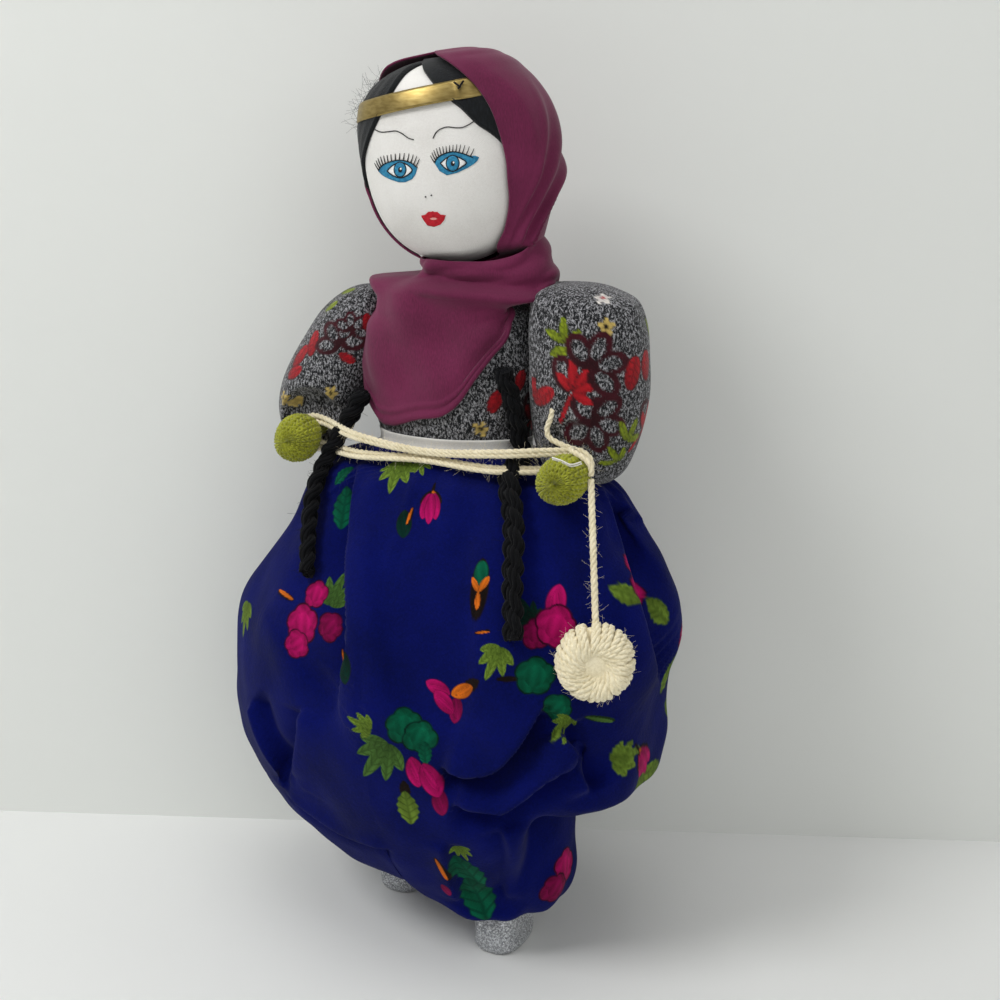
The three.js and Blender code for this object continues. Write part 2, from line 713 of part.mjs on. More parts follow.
// Gathered legs: rise over the ankle, share of the trousers' width, how far the row is drawn in to the
// leg, and its radius there; the left leg's side is drawn in under the trousers' floor, its front is not.
// The rises are drawn for a floor that is FLOOR_RISE over the ankle and stretch with it
const RIGHT_LEG = [
  [92, 0.49, 0, 38], [76, 0.488, 0, 38], [60, 0.477, 0, 38], [46, 0.457, 0, 38], [32, 0.425, 0, 38],
  [20, 0.371, 0, 38], [10, 0.29, 0.06, 38], [4, 0.235, 0.22, 36], [1, 0.2, 0.5, 28], [0, 0.17, 0.85, 19],
  [0, 0.155, 1, 14.5],
];
const LEFT_FRONT = [
  [92, 0.455, 0, 40], [76, 0.452, 0, 40], [60, 0.438, 0, 40], [46, 0.413, 0, 40], [32, 0.36, 0, 40],
  [20, 0.31, 0.06, 40], [10, 0.26, 0.27, 37], [4, 0.21, 0.6, 33], [1, 0.185, 0.85, 28], [0, 0.17, 0.97, 21],
  [0, 0.155, 1, 15],
];
const LEFT_SIDE = [
  [92, 0.455, 0, 37], [76, 0.452, 0, 37], [60, 0.436, 0, 37], [50, 0.402, 0.03, 37], [46.5, 0.35, 0.2, 37],
  [44, 0.29, 0.7, 35.5], [34, 0.26, 1, 32.5], [20, 0.25, 1, 30.5], [8, 0.23, 1, 28], [1, 0.2, 1, 22],
  [0, 0.19, 1, 15],
];
const FLOOR_RISE = 40.5;
const LEG_STRETCH = (HIP_Z - HEM_REACH - ANKLE_Z) / FLOOR_RISE;
const LEG_OUTSIDE = 0.82;
const LEG_STEPS = 28;

// The outside of a leg runs round from the front seam to the back one, and a flat wall closes it
function legPoint(side, [rise, width, drawn, radius], angle, grow) {
  const share = angle / (2 * Math.PI);
  const turn = Math.PI * Math.min(1, share / LEG_OUTSIDE);
  const inner = Math.max(0, (share - LEG_OUTSIDE) / (1 - LEG_OUTSIDE));
  const plain = ANKLE_Z + rise * LEG_STRETCH;
  const height = plain - grow * smooth(FLOOR_RISE, FLOOR_RISE / 4, rise);
  const [, , depth] = along(BAG_TABLE, (WAIST_Z - plain) / BAG_DROP);
  const low = smooth(FLOOR_RISE * 0.8, 0, rise);
  const wide = width * BAG_WIDTH + grow;
  const deep = depth * BAG_DEPTH * mix(1, 0.6, low * low) + grow;
  const across = inner > 0 ? 0 : wide * Math.sin(turn);
  const aside = inner > 0 ? mix(1, -1, inner) : -Math.cos(turn);
  const degrees = inner > 0 ? mix(215, 325, inner) : mix(-35, 215, share / LEG_OUTSIDE);
  const round = THREE.MathUtils.degToRad(degrees);
  const [legX, legY] = legSpot(side, height);
  const x = mix(across, Math.abs(legX) + (radius + grow) * Math.sin(round), drawn);
  const y = mix(BAG_Y + deep * aside, legY - (radius + grow) * Math.cos(round), drawn);
  return new THREE.Vector3(side * Math.max(x, SWING_GAP - grow), y, height);
}

function legCloth(side, grow) {
  const count = RIGHT_LEG.length;
  const rows = RIGHT_LEG.map((row, i) => [1, i, i]);
  return turned([[0, 0, 0], ...rows, [0, count, count - 1]], LEG_STEPS, (spot, [out, , i], angle) => {
    const turn = (angle * 90) / Math.PI / LEG_OUTSIDE;
    const lobe = smooth(38, 60, turn) * smooth(172, 150, turn);
    spot.copy(legPoint(side, side < 0 ? RIGHT_LEG[i] : LEFT_FRONT[i], angle, grow));
    if (side > 0) spot.lerp(legPoint(side, LEFT_SIDE[i], angle, grow), lobe);
    if (out === 0) spot.set(...legSpot(side, spot.z), spot.z);
  });
}

function trouserLeg(side) {
  const shell = legCloth(side, 0).subtract(legCloth(side, -WOOL));
  return shell.subtract(leg(side, GAP)).subtract(hemDrum(SPLIT_GAP));
}

function shoe(side) {
  const [x, y] = legSpot(side, 0);
  const wide = SHOE_WIDTH / 2;
  const long = SHOE_LENGTH / 2;
  const hole = ANKLE_WIDTH / 2 + GAP;
  const rows = [
    [0, 0, 0], [wide * 0.86, 0, long * 0.9], [wide, 4, long], [wide, SHOE_HEIGHT * 0.55, long * 0.96],
    [wide * 0.92, SHOE_HEIGHT * 0.85, long * 0.8], [hole + 2, SHOE_HEIGHT, hole + 4],
    [hole, SHOE_HEIGHT, hole], [hole, SOLE, hole], [0, SOLE, 0],
  ];
  return turned(rows, 20, oval(x, y));
}

// Yarn ball: the outer layer winds through the middle, over a ring-shaped core

const BALL_SHARE = (WAIST_Z - BALL_HEIGHT) / BAG_DROP;
const BALL_ANGLE = THREE.MathUtils.degToRad(BALL_TURN);
const BALL_SPOT = onBag(BALL_ANGLE, BALL_SHARE, BALL_THICKNESS / 2 + 2);
const BALL_OUT = BALL_SPOT.clone().sub(onBag(BALL_ANGLE, BALL_SHARE, 0)).normalize();

function ballMatrix() {
  const up = new THREE.Vector3(0, 0, 1).addScaledVector(BALL_OUT, -BALL_OUT.z).normalize();
  const aside = up.clone().cross(BALL_OUT);
  return new THREE.Matrix4().makeBasis(aside, up, BALL_OUT).setPosition(BALL_SPOT);
}

function ballOutline(angle, inset) {
  const mid = (BALL_WIDTH / 2 + BALL_HOLE / 2) / 2;
  const reach = (BALL_WIDTH / 2 - BALL_HOLE / 2) / 2 - inset;
  const lift = BALL_THICKNESS / 2 - inset;
  return new THREE.Vector2(mid + reach * Math.cos(angle), lift * Math.sin(angle));
}

function yarnBall() {
  const steps = 10;
  const total = BALL_WRAPS * steps - steps / 2;
  const matrix = ballMatrix();
  const rings = [];
  for (let i = 0; i <= total; i += 1) {
    const round = (i / steps) * 2 * Math.PI;
    const turn = (i / steps / BALL_WRAPS) * 2 * Math.PI;
    const spot = ballOutline(round, YARN / 2);
    const next = ballOutline(round + 0.05, YARN / 2).sub(spot).normalize();
    const room = (2 * Math.PI * (spot.x - (Math.abs(next.y) * YARN) / 4)) / BALL_WRAPS - 0.6;
    const wide = Math.min(YARN, room) / 2;
    const ring = [];
    for (let k = 0; k < 6; k += 1) {
      const angle = ((k + 0.5) * Math.PI) / 3;
      const across = (wide * Math.cos(angle)) / Math.cos(Math.PI / 6);
      const out = (YARN / 2) * Math.sin(angle);
      const r = spot.x + next.y * out;
      const z = spot.y - next.x * out;
      const x = r * Math.cos(turn) - across * Math.sin(turn);
      const y = r * Math.sin(turn) + across * Math.cos(turn);
      ring.push(new THREE.Vector3(x, y, z).applyMatrix4(matrix));
    }
    rings.push(ring);
  }
  console.log('yarn_ball least gap to itself', leastSelfGap(rings.flat(), 0, 40).toFixed(2), 'mm');
  return ringsSolid(rings);
}

function ringsSolid(rings) {
  const sides = rings[0].length;
  const index = [];
  for (let i = 0; i + 1 < rings.length; i += 1) {
    for (let k = 0; k < sides; k += 1) {
      const a = i * sides + k;
      const b = i * sides + ((k + 1) % sides);
      index.push(a, b, b + sides, a, b + sides, a + sides);
    }
  }
  const last = (rings.length - 1) * sides;
  for (let k = 1; k + 1 < sides; k += 1) {
    index.push(0, k + 1, k, last, last + k, last + k + 1);
  }
  const geometry = new THREE.BufferGeometry().setFromPoints(rings.flat());
  geometry.setIndex(index);
  return solid(geometry);
}

function yarnBallCore() {
  const matrix = ballMatrix();
  const rows = [];
  for (let i = 0; i <= 10; i += 1) {
    const spot = ballOutline(((i % 10) * Math.PI) / 5, YARN + GAP);
    rows.push([spot.x, spot.y]);
  }
  return turned(rows, 18, (spot, [r, height], angle) => {
    spot.set(r * Math.sin(angle), -r * Math.cos(angle), height).applyMatrix4(matrix);
  });
}

function yarnBallHeart() {
  const wide = BALL_HOLE / 2 - GAP;
  const tall = BALL_THICKNESS * 0.3;
  const rows = [[0, -tall], [wide * 0.8, -tall], [wide, 0], [wide * 0.8, tall], [0, tall]];
  const matrix = ballMatrix();
  return turned(rows, 12, (spot, [r, height], angle) => {
    spot.set(r * Math.sin(angle), -r * Math.cos(angle), height).applyMatrix4(matrix);
  });
}

function yarnStrand() {
  const rim = new THREE.Vector3(0, BALL_WIDTH / 2 + GAP, 0).applyMatrix4(ballMatrix());
  const down = rim.clone().sub(PIVOT).normalize();
  const aside = new THREE.Vector3(1, 0, 0).cross(down).normalize();
  const flat = down.clone().cross(aside);
  const length = PIVOT.distanceTo(rim);
  const stations = [[-0.48, 0.3], [-0.35, 0.72], [0, 1]];
  for (let i = 1; i <= 10; i += 1) stations.push([(length / YARN) * (i / 10), 1]);
  const rings = stations.map(([step, share]) => {
    const centre = PIVOT.clone().addScaledVector(down, step * YARN);
    const ring = [];
    for (let k = 0; k < 8; k += 1) {
      const angle = (k * Math.PI) / 4;
      const spot = centre.clone();
      spot.addScaledVector(aside, (share * YARN * Math.cos(angle)) / 2);
      spot.addScaledVector(flat, (share * YARN * Math.sin(angle)) / 2);
      ring.push(spot);
    }
    return ring;
  });
  return ringsSolid(rings);
}

// Braids lie on the blouse, pass behind the hank and lie on the trousers

function onBlouse(side, x, height, lift) {
  const [wide, , deep] = trunkRow(height, GAP + CLOTH);
  const angle = Math.asin(THREE.MathUtils.clamp(x / wide, -1, 1));
  const out = new THREE.Vector2(Math.sin(angle) / wide, Math.cos(angle) / deep).normalize();
  return new THREE.Vector3(
    side * (wide * Math.sin(angle) + out.x * lift),
    BODY_Y - deep * Math.cos(angle) - out.y * lift,
    height,
  );
}

function braid(side, endHeight, endTurn) {
  const lift = BRAID / 2 + TAPE + GAP * 2 + 0.3;
  const x = ARM_X - BRAID / 2 - lift * 0.75;
  const points = [];
  for (const height of [WAIST_Z + 35, WAIST_Z + 27, WAIST_Z + 18, WAIST_Z + 9]) {
    points.push(onBlouse(side, x, height, lift));
  }
  const startTurn = THREE.MathUtils.degToRad(33);
  const turnTo = THREE.MathUtils.degToRad(endTurn);
  const last = (WAIST_Z - endHeight) / BAG_DROP;
  for (const share of [0.02, 0.05, 0.085, 0.13, 0.2, 0.28, 0.37, 0.45]) {
    if (share > last + 0.02) break;
    points.push(onBag(side * mix(startTurn, turnTo, Math.min(1, share / last)), share, BRAID / 2 + 1.6));
  }
  return rope(points, BRAID, 8);
}

// Build

piece('head_stuffing', headStuffing(), '#efeae0');
piece('head_cover', headCover(), '#ece8e2');
piece('hair_left', hair(1), '#232634', 0.95);
piece('hair_right', hair(-1), '#232634', 0.95);
piece('headband', headband(), '#b8963c', 0.35, 0.7);
piece('headband_stitch', headbandStitch(), '#15151a');
piece('scarf_hood', scarfHood(), '#5d2a47');
piece('scarf_bib', scarfBib(), '#5d2a47');
piece('neck', neck(), '#efeae0');
piece('trunk', trunk(), '#e6e0d4');
piece('bodice', bodice(), '#8b8a8c');
piece('waist_tape', waistTape(), '#e9e6df');
for (const [name, side] of SIDES) {
  piece(`sleeve_${name}`, sleeve(side), '#8b8a8c');
  piece(`arm_${name}`, arm(side), '#e6e0d4');
  piece(`hand_${name}`, hand(side), '#9a9a35', 0.95);
  piece(`leg_${name}`, leg(side), '#e6e0d4');
  piece(`trouser_leg_${name}`, trouserLeg(side), '#232c66');
  piece(`shoe_${name}`, shoe(side), '#8d9196', 0.6, 0.3);
}
piece('trousers_bag', trousersBag(), '#232c66');
piece('braid_left', braid(1, LEFT_BRAID_END, 40), '#17171c', 0.95);
piece('braid_right', braid(-1, RIGHT_BRAID_END, 27), '#17171c', 0.95);
piece('yarn_hank', yarnHank(), '#d9d4c6', 0.95);
piece('hand_thread', handThread(), '#e9e6df');
piece('yarn_strand', yarnStrand(), '#d9d4c6', 0.95);
piece('yarn_ball', yarnBall(), '#d9d4c6', 0.95);
piece('yarn_ball_core', yarnBallCore(), '#cfc9ba', 0.95);
piece('yarn_ball_heart', yarnBallHeart(), '#cfc9ba', 0.95);

export default doll;
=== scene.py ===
# %% [markdown]
# # A stuffed rag doll in folk dress
# The doll is sewn from soft pieces: a stuffed head with a painted face, a head scarf, a flower
# blouse with puffed sleeves, wide gathered trousers, glitter shoes, plaited hair and a hank of yarn
# held between two knitted hands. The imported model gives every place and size, and this lesson
# dresses it piece by piece.

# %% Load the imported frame
import math

import bmesh
import bpy
import numpy as np
from mathutils import Matrix, Vector
from mathutils.bvhtree import BVHTree


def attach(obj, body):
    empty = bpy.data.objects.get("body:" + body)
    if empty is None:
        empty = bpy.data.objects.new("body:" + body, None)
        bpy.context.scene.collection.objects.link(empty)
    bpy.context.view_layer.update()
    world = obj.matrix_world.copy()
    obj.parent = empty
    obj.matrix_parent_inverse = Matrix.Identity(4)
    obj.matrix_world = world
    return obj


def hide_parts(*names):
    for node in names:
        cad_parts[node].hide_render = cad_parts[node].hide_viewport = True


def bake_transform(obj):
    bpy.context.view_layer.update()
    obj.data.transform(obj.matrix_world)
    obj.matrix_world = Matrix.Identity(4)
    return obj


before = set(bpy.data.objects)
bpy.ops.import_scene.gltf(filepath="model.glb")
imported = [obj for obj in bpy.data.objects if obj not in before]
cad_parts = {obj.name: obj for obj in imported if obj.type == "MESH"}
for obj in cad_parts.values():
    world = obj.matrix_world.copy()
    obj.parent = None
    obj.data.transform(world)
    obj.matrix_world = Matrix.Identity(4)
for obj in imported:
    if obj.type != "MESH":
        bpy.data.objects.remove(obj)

for spare in ("Cube", "Light", "Camera"):
    if spare in bpy.data.objects:
        bpy.data.objects.remove(bpy.data.objects[spare])
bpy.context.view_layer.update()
MM = 0.001

# %% [markdown]
# ## The camera
# The camera comes first, because some pieces are placed by a sight line: a line from the camera
# through a point of the 1000 by 1000 picture, followed until it meets the doll.

# %% Camera and sight lines
EYE = Vector((0.3260, -0.5509, 0.3741))
AIM = Vector((0.02325, 0.0, 0.2086))
FOCAL, PICTURE, SENSOR = 1472.0, 1000.0, 36.0
CENTRE = PICTURE / 2
eye = bpy.data.objects.new("eye", bpy.data.cameras.new("eye"))
bpy.context.scene.collection.objects.link(eye)
eye.data.sensor_width = SENSOR
eye.data.lens = SENSOR * FOCAL / PICTURE
eye.data.clip_start = 0.01
eye.location = EYE
eye.rotation_mode = "QUATERNION"
eye.rotation_quaternion = (AIM - EYE).to_track_quat("-Z", "Y")
bpy.context.scene.camera = eye
EYE_TURN = eye.rotation_quaternion.to_matrix()
UP, BACK = (np.array(EYE_TURN.col[i]) for i in (1, 2))


def sight(x, y):
    return EYE_TURN @ Vector(((x - CENTRE) / FOCAL, (CENTRE - y) / FOCAL, -1.0))


def cast(tree, x, y):
    spot, normal, _, far = tree.ray_cast(EYE, sight(x, y))
    return spot, normal, far


print("camera", tuple(EYE), "lens", round(eye.data.lens, 2))

# %% [markdown]
# ## Small helpers for shapes
# A soft surface starts as a flat grid. Each point of the grid has a place across and along, and a
# rule says where on the doll that point goes. Smooth tables give outlines from a few heights.

# %% Shape helpers


def ease(low, high, x):
    t = np.clip((x - low) / (high - low), 0.0, 1.0)
    return t * t * (3 - 2 * t)


def mix(a, b, t):
    return a + (b - a) * t


def bell(far, wide):
    return np.exp(-((far / wide) ** 2))


def glide(table, x):
    key, value = np.array(table, float).T
    slope = np.gradient(value, key)
    i = np.clip(np.searchsorted(key, x) - 1, 0, len(key) - 2)
    step = key[i + 1] - key[i]
    t = np.clip((x - key[i]) / step, 0, 1)
    start = (1 + 2 * t) * (1 - t) ** 2 * value[i] + t * (1 - t) ** 2 * step * slope[i]
    end = t * t * (3 - 2 * t) * value[i + 1] + t * t * (t - 1) * step * slope[i + 1]
    return start + end


def along(line, t):
    """Smoothed places at shares of the way along a given line."""
    line = np.array(line, float)
    key = np.linspace(0, 1, len(line))
    return np.stack([glide(list(zip(key, line[:, i])), t) for i in range(line.shape[1])], 1)


def even_steps(across, high):
    """How far along its cloth each row of an outline lies, from 0 to 1."""
    gone = np.concatenate([[0], np.cumsum(np.hypot(np.diff(across), np.diff(high)))])
    return gone / gone[-1]


def columns(rows):
    """Turns rows of an outline into one smooth table for each of their values."""
    return [[(i, row[k]) for i, row in enumerate(rows)] for k in range(len(rows[0]))]


def points_of(piece):
    co = np.zeros(len(piece.data.vertices) * 3)
    piece.data.vertices.foreach_get("co", co)
    return co.reshape(-1, 3)


def set_points(piece, co):
    piece.data.vertices.foreach_set("co", co.ravel())
    piece.data.update()


def normals_of(piece):
    normal = np.zeros(len(piece.data.vertices) * 3)
    piece.data.vertex_normals.foreach_get("vector", normal)
    return normal.reshape(-1, 3)


def new_piece(name, bm):
    mesh = bpy.data.meshes.new(name)
    bm.to_mesh(mesh)
    bm.free()
    piece = bpy.data.objects.new(name, mesh)
    bpy.context.scene.collection.objects.link(piece)
    mesh.shade_smooth()
    return piece


def grid_piece(name, across, down, place, outward=None):
    bm = bmesh.new()
    bm.loops.layers.uv.new("UVMap")
    bmesh.ops.create_grid(bm, x_segments=across, y_segments=down, size=0.5, calc_uvs=True)
    flat = np.array([v.co for v in bm.verts]) + 0.5
    for vert, spot in zip(bm.verts, place(flat[:, 0], flat[:, 1])):
        vert.co = spot
    bmesh.ops.remove_doubles(bm, verts=bm.verts, dist=1e-6)
    bmesh.ops.recalc_face_normals(bm, faces=bm.faces)
    if outward is not None:
        middle = Vector(outward)
        facing = sum((f.calc_center_median() - middle).dot(f.normal) * f.calc_area() for f in bm.faces)
        if facing < 0:
            bmesh.ops.reverse_faces(bm, faces=bm.faces)
    return new_piece(name, bm)


def thicken(piece, thickness, inward=True):
    wall = piece.modifiers.new("thickness", "SOLIDIFY")
    wall.thickness = thickness
    wall.offset = -1.0 if inward else 1.0
    return piece


def tree_of(*pieces):
    verts, faces = [], []
    for piece in pieces:
        start = len(verts)
        verts.extend(v.co.copy() for v in piece.data.vertices)
        faces.extend([start + i for i in p.vertices] for p in piece.data.polygons)
    return BVHTree.FromPolygons(verts, faces)


def push_out(piece, far):
    """Moves each point of a piece out along its normal, in millimetres."""
    set_points(piece, points_of(piece) + normals_of(piece) * (far * MM)[:, None])


def ripple(co, size, seed):
    """A slow, even unevenness between -1 and 1, the same each run."""
    total = np.zeros(len(co))
    for k in range(1, 5):
        way = np.array([math.sin(seed + 2.1 * k), math.cos(1.7 * seed + k), math.sin(3.3 * k - seed)])
        way /= np.linalg.norm(way)
        total += np.sin(co @ way * (2 * math.pi / size) * (0.7 + 0.22 * k) + seed * k)
    return total / 4


print("helpers ready")

# %% [markdown]
# ## Finishes as arithmetic
# A finish is a node material. A small class wraps a socket, so that a pattern reads as a sum, and
# one method adds any other node. Colours are written as they look and turned into light values.

# %% Finish helpers


def ink(red, green, blue):
    def light(value):
        share = value / 255
        return share / 12.92 if share <= 0.04045 else ((share + 0.055) / 1.055) ** 2.4
    return (light(red), light(green), light(blue), 1.0)


class Wire:
    def __init__(self, finish, socket):
        self.finish = finish
        self.socket = socket

    def math(self, operation, *values):
        return self.finish.node("ShaderNodeMath", {"operation": operation}, *values)

    def __add__(self, other):
        return self.math("ADD", self, other)

    def __sub__(self, other):
        return self.math("SUBTRACT", self, other)

    def __rsub__(self, other):
        return self.math("SUBTRACT", other, self)

    def __mul__(self, other):
        return self.math("MULTIPLY", self, other)

    __radd__ = __add__
    __rmul__ = __mul__

    def sine(self):
        return self.math("SINE", self)

    def step(self, low, high):
        settings = {"interpolation_type": "SMOOTHSTEP"}
        return self.finish.node("ShaderNodeMapRange", settings, self, low, high, 0.0, 1.0)


class Finish:
    def __init__(self, name, **fixed):
        self.material = bpy.data.materials.new(name)
        self.material.use_nodes = True
        self.tree = self.material.node_tree
        self.shader = self.tree.nodes["Principled BSDF"]
        for key, value in fixed.items():
            self.feed(self.shader.inputs[key.replace("_", " ")], value)

    def feed(self, socket, value):
        if isinstance(value, Wire):
            self.tree.links.new(value.socket, socket)
        else:
            socket.default_value = value

    def node(self, kind, settings, *values, out=0, **named):
        made = self.tree.nodes.new(kind)
        for key, value in settings.items():
            setattr(made, key, value)
        for socket, value in zip(made.inputs, values):
            self.feed(socket, value)
        for key, value in named.items():
            self.feed(made.inputs[key.replace("_", " ")], value)
        return Wire(self, made.outputs[out])

    def coords(self, *scale):
        place = self.node("ShaderNodeTexCoord", {}, out="Object")
        return self.node("ShaderNodeMapping", {}, Vector=place, Scale=scale or (1, 1, 1))

    def axis(self, place, letter):
        return self.node("ShaderNodeSeparateXYZ", {}, place, out=letter)

    def noise(self, place, scale, detail=2.0, rough=0.5):
        return self.node(
            "ShaderNodeTexNoise", {}, Vector=place, Scale=scale, Detail=detail, Roughness=rough)

    def mixed(self, a, b, share):
        made = self.tree.nodes.new("ShaderNodeMix")
        made.data_type = "RGBA"
        for socket, value in ((0, share), (6, a), (7, b)):
            self.feed(made.inputs[socket], value)
        return Wire(self, made.outputs[2])

    def attribute(self, name, out):
        return self.node("ShaderNodeAttribute", {"attribute_name": name}, out=out)

    def bump(self, height, distance, strength=1.0):
        bump = self.node("ShaderNodeBump", {}, Strength=strength, Distance=distance, Height=height)
        self.feed(self.shader.inputs["Normal"], bump)

    def colour(self, value):
        self.feed(self.shader.inputs["Base Color"], value)

    def rough(self, value):
        self.feed(self.shader.inputs["Roughness"], value)


print("finish helpers ready")

# %% [markdown]
# ## The cloth finishes
# Cotton shows a fine square weave, the scarf a thin crepe, the wool a felted fuzz, and the blouse a
# salt and pepper knit. Each is a few noises on the doll's own coordinates, at the thread's real size.

# %% Plain cloth


def weave(finish, thread):
    turn = 2 * math.pi / thread
    place = finish.coords()
    across = (finish.axis(place, "X") * turn).sine() + (finish.axis(place, "Y") * turn).sine()
    return across * (finish.axis(place, "Z") * turn).sine()


def cotton(name, tint, shade, thread=0.0007, depth=0.00005, sheen=0.1):
    f = Finish(name, Roughness=0.9, Sheen_Weight=sheen, Specular_IOR_Level=0.2)
    cloud = f.noise(f.coords(), 45.0, 4.0)
    grain = f.noise(f.coords(), 1400.0, 2.0)
    f.colour(f.mixed(shade, tint, (cloud * 0.75 + grain * 0.35).step(0.25, 0.7)))
    f.bump(weave(f, thread) * 0.25 + grain, depth)
    return f.material


def crepe(name, tint, shade):
    f = Finish(name, Roughness=0.74, Sheen_Weight=0.14, Specular_IOR_Level=0.22)
    cloud = f.noise(f.coords(), 26.0, 4.0)
    thread = f.noise(f.coords(2600, 2600, 500), 1.0, 2.0)
    f.colour(f.mixed(shade, tint, (cloud * 0.7 + thread * 0.5).step(0.3, 0.85)))
    f.bump(thread + f.noise(f.coords(), 190.0, 3.0) * 1.5, 0.00008)
    return f.material


def wool(name, tint, shade, light):
    f = Finish(name, Roughness=0.97, Sheen_Weight=0.03, Sheen_Roughness=0.5, Specular_IOR_Level=0.08)
    cloud = f.noise(f.coords(), 32.0, 5.0)
    fuzz = f.noise(f.coords(), 1100.0, 3.0, 0.7)
    ground = f.mixed(shade, tint, (cloud * 0.6 + fuzz * 0.55).step(0.3, 0.8))
    ground = f.mixed(ground, light, fuzz.step(0.62, 0.85) * 0.35)
    dyed = f.mixed(f.attribute("print", "Color"), ink(12, 10, 14), fuzz.step(0.5, 0.8) * 0.35)
    f.colour(f.mixed(ground, dyed, f.attribute("print", "Alpha")))
    f.bump(fuzz + f.noise(f.coords(), 420.0, 2.0), 0.00022)
    return f.material


def marl(name):
    f = Finish(name, Roughness=0.95, Sheen_Weight=0.2, Specular_IOR_Level=0.15)
    fleck = f.noise(f.coords(1200, 1200, 680), 1.0, 2.0, 0.6)
    fine = f.noise(f.coords(), 2200.0, 2.0, 0.6)
    mask = (fleck * 0.7 + fine * 0.4).step(0.5, 0.7)
    ground = f.mixed(ink(19, 20, 23), ink(166, 166, 170), mask)
    dyed = f.mixed(f.attribute("print", "Color"), ink(20, 12, 14), fine.step(0.5, 0.8) * 0.4)
    f.colour(f.mixed(ground, dyed, f.attribute("print", "Alpha")))
    f.bump(fleck * 1.2 + fine, 0.0002)
    return f.material


HEAD_COTTON = cotton("head_cotton", ink(236, 234, 230), ink(222, 219, 214))
TAPE_COTTON = cotton("tape_cotton", ink(232, 230, 226), ink(208, 206, 200))
SCARF_CREPE = crepe("scarf_crepe", ink(116, 32, 74), ink(86, 20, 53))
TROUSER_WOOL = wool("trouser_wool", ink(5, 15, 92), ink(2, 8, 58), ink(24, 35, 110))
BLOUSE_MARL = marl("blouse_marl")
print("cloth finishes ready")

# %% Yarn, hair, ribbon, glitter and paint


def yarn_finish(name, tint, shade, sheen=0.4):
    f = Finish(name, Roughness=0.95, Sheen_Weight=sheen, Sheen_Roughness=0.5, Specular_IOR_Level=0.15)
    fibre = f.noise(f.coords(), 900.0, 3.0, 0.65)
    cloud = f.noise(f.coords(), 120.0, 2.0)
    f.colour(f.mixed(shade, tint, (fibre * 0.7 + cloud * 0.4).step(0.3, 0.75)))
    f.bump(fibre, 0.0002)
    return f.material


def hair_finish():
    f = Finish("hair_felt", Roughness=0.8, Sheen_Weight=0.15, Specular_IOR_Level=0.2)
    strand = f.noise(f.coords(1600, 1600, 260), 1.0, 3.0, 0.6)
    f.colour(f.mixed(ink(8, 11, 14), ink(22, 26, 31), strand.step(0.4, 0.75)))
    f.bump(strand, 0.0003)
    return f.material


def gold_finish():
    f = Finish("gold_ribbon", Metallic=1.0)
    brushed = f.noise(f.coords(260, 260, 900), 1.0, 2.0)
    f.colour(f.mixed(ink(142, 122, 72), ink(166, 146, 92), brushed.step(0.3, 0.7)))
    f.rough(0.34 + brushed * 0.1)
    f.bump(brushed, 0.00002)
    return f.material


def glitter_finish():
    f = Finish("silver_glitter", Specular_IOR_Level=0.5)
    cells = {"voronoi_dimensions": "3D", "feature": "F1"}
    chip = f.node("ShaderNodeTexVoronoi", cells, Vector=f.coords(), Scale=2000.0, out="Color")
    share = f.axis(chip, "X")
    f.colour(f.mixed(ink(142, 144, 148), ink(226, 228, 231), share.step(0.2, 0.95)))
    f.feed(f.shader.inputs["Metallic"], 0.35 + share * 0.5)
    f.rough(0.5 - f.axis(chip, "Y") * 0.25)
    f.bump(f.axis(chip, "Z"), 0.00025)
    return f.material


def paint_finish(name, tint, shade):
    f = Finish(name, Roughness=0.7, Specular_IOR_Level=0.3)
    f.colour(f.mixed(shade, tint, f.noise(f.coords(), 900.0, 2.0).step(0.3, 0.65)))
    return f.material


CREAM_YARN = yarn_finish("cream_yarn", ink(250, 240, 210), ink(222, 209, 172))
HAND_WOOL = yarn_finish("hand_wool", ink(176, 180, 52), ink(112, 114, 22))
BRAID_YARN = yarn_finish("braid_yarn", ink(13, 14, 17), ink(4, 4, 6), 0.04)
BLACK_THREAD = yarn_finish("black_thread", ink(20, 20, 24), ink(8, 8, 10), 0.1)
WHITE_THREAD = yarn_finish("white_thread", ink(240, 238, 232), ink(214, 210, 202), 0.2)
HAIR_FELT = hair_finish()
GOLD_RIBBON = gold_finish()
SILVER_GLITTER = glitter_finish()
PAINT_BLACK = paint_finish("paint_black", ink(26, 24, 26), ink(14, 13, 15))
PAINT_BLUE = paint_finish("paint_blue", ink(52, 140, 178), ink(36, 112, 152))
PAINT_WHITE = paint_finish("paint_white", ink(242, 242, 240), ink(232, 232, 230))
PAINT_RED = paint_finish("paint_red", ink(200, 28, 44), ink(174, 18, 34))
PAINT_PINK = paint_finish("paint_pink", ink(236, 168, 160), ink(226, 146, 140))
print("small finishes ready")

# %% [markdown]
# ## Finishing a piece
# Every piece gets its material, its body and the imported nodes that it stands for.

# %% Finish a piece


def dress(piece, body, slot, material, *nodes):
    piece.data.materials.clear()
    piece.data.materials.append(material)
    if body:
        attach(piece, body)
    if nodes:
        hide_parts(*nodes)
    print(piece.name, len(piece.data.polygons), "faces")
    return piece


# %% [markdown]
# ## The head
# The head is a stuffed ball of white cotton, wider at the brow than at the chin, that leans a little
# to one side. A sphere from one operator is drawn out to that egg, and its cloth is left slightly
# uneven, as stuffing makes it.

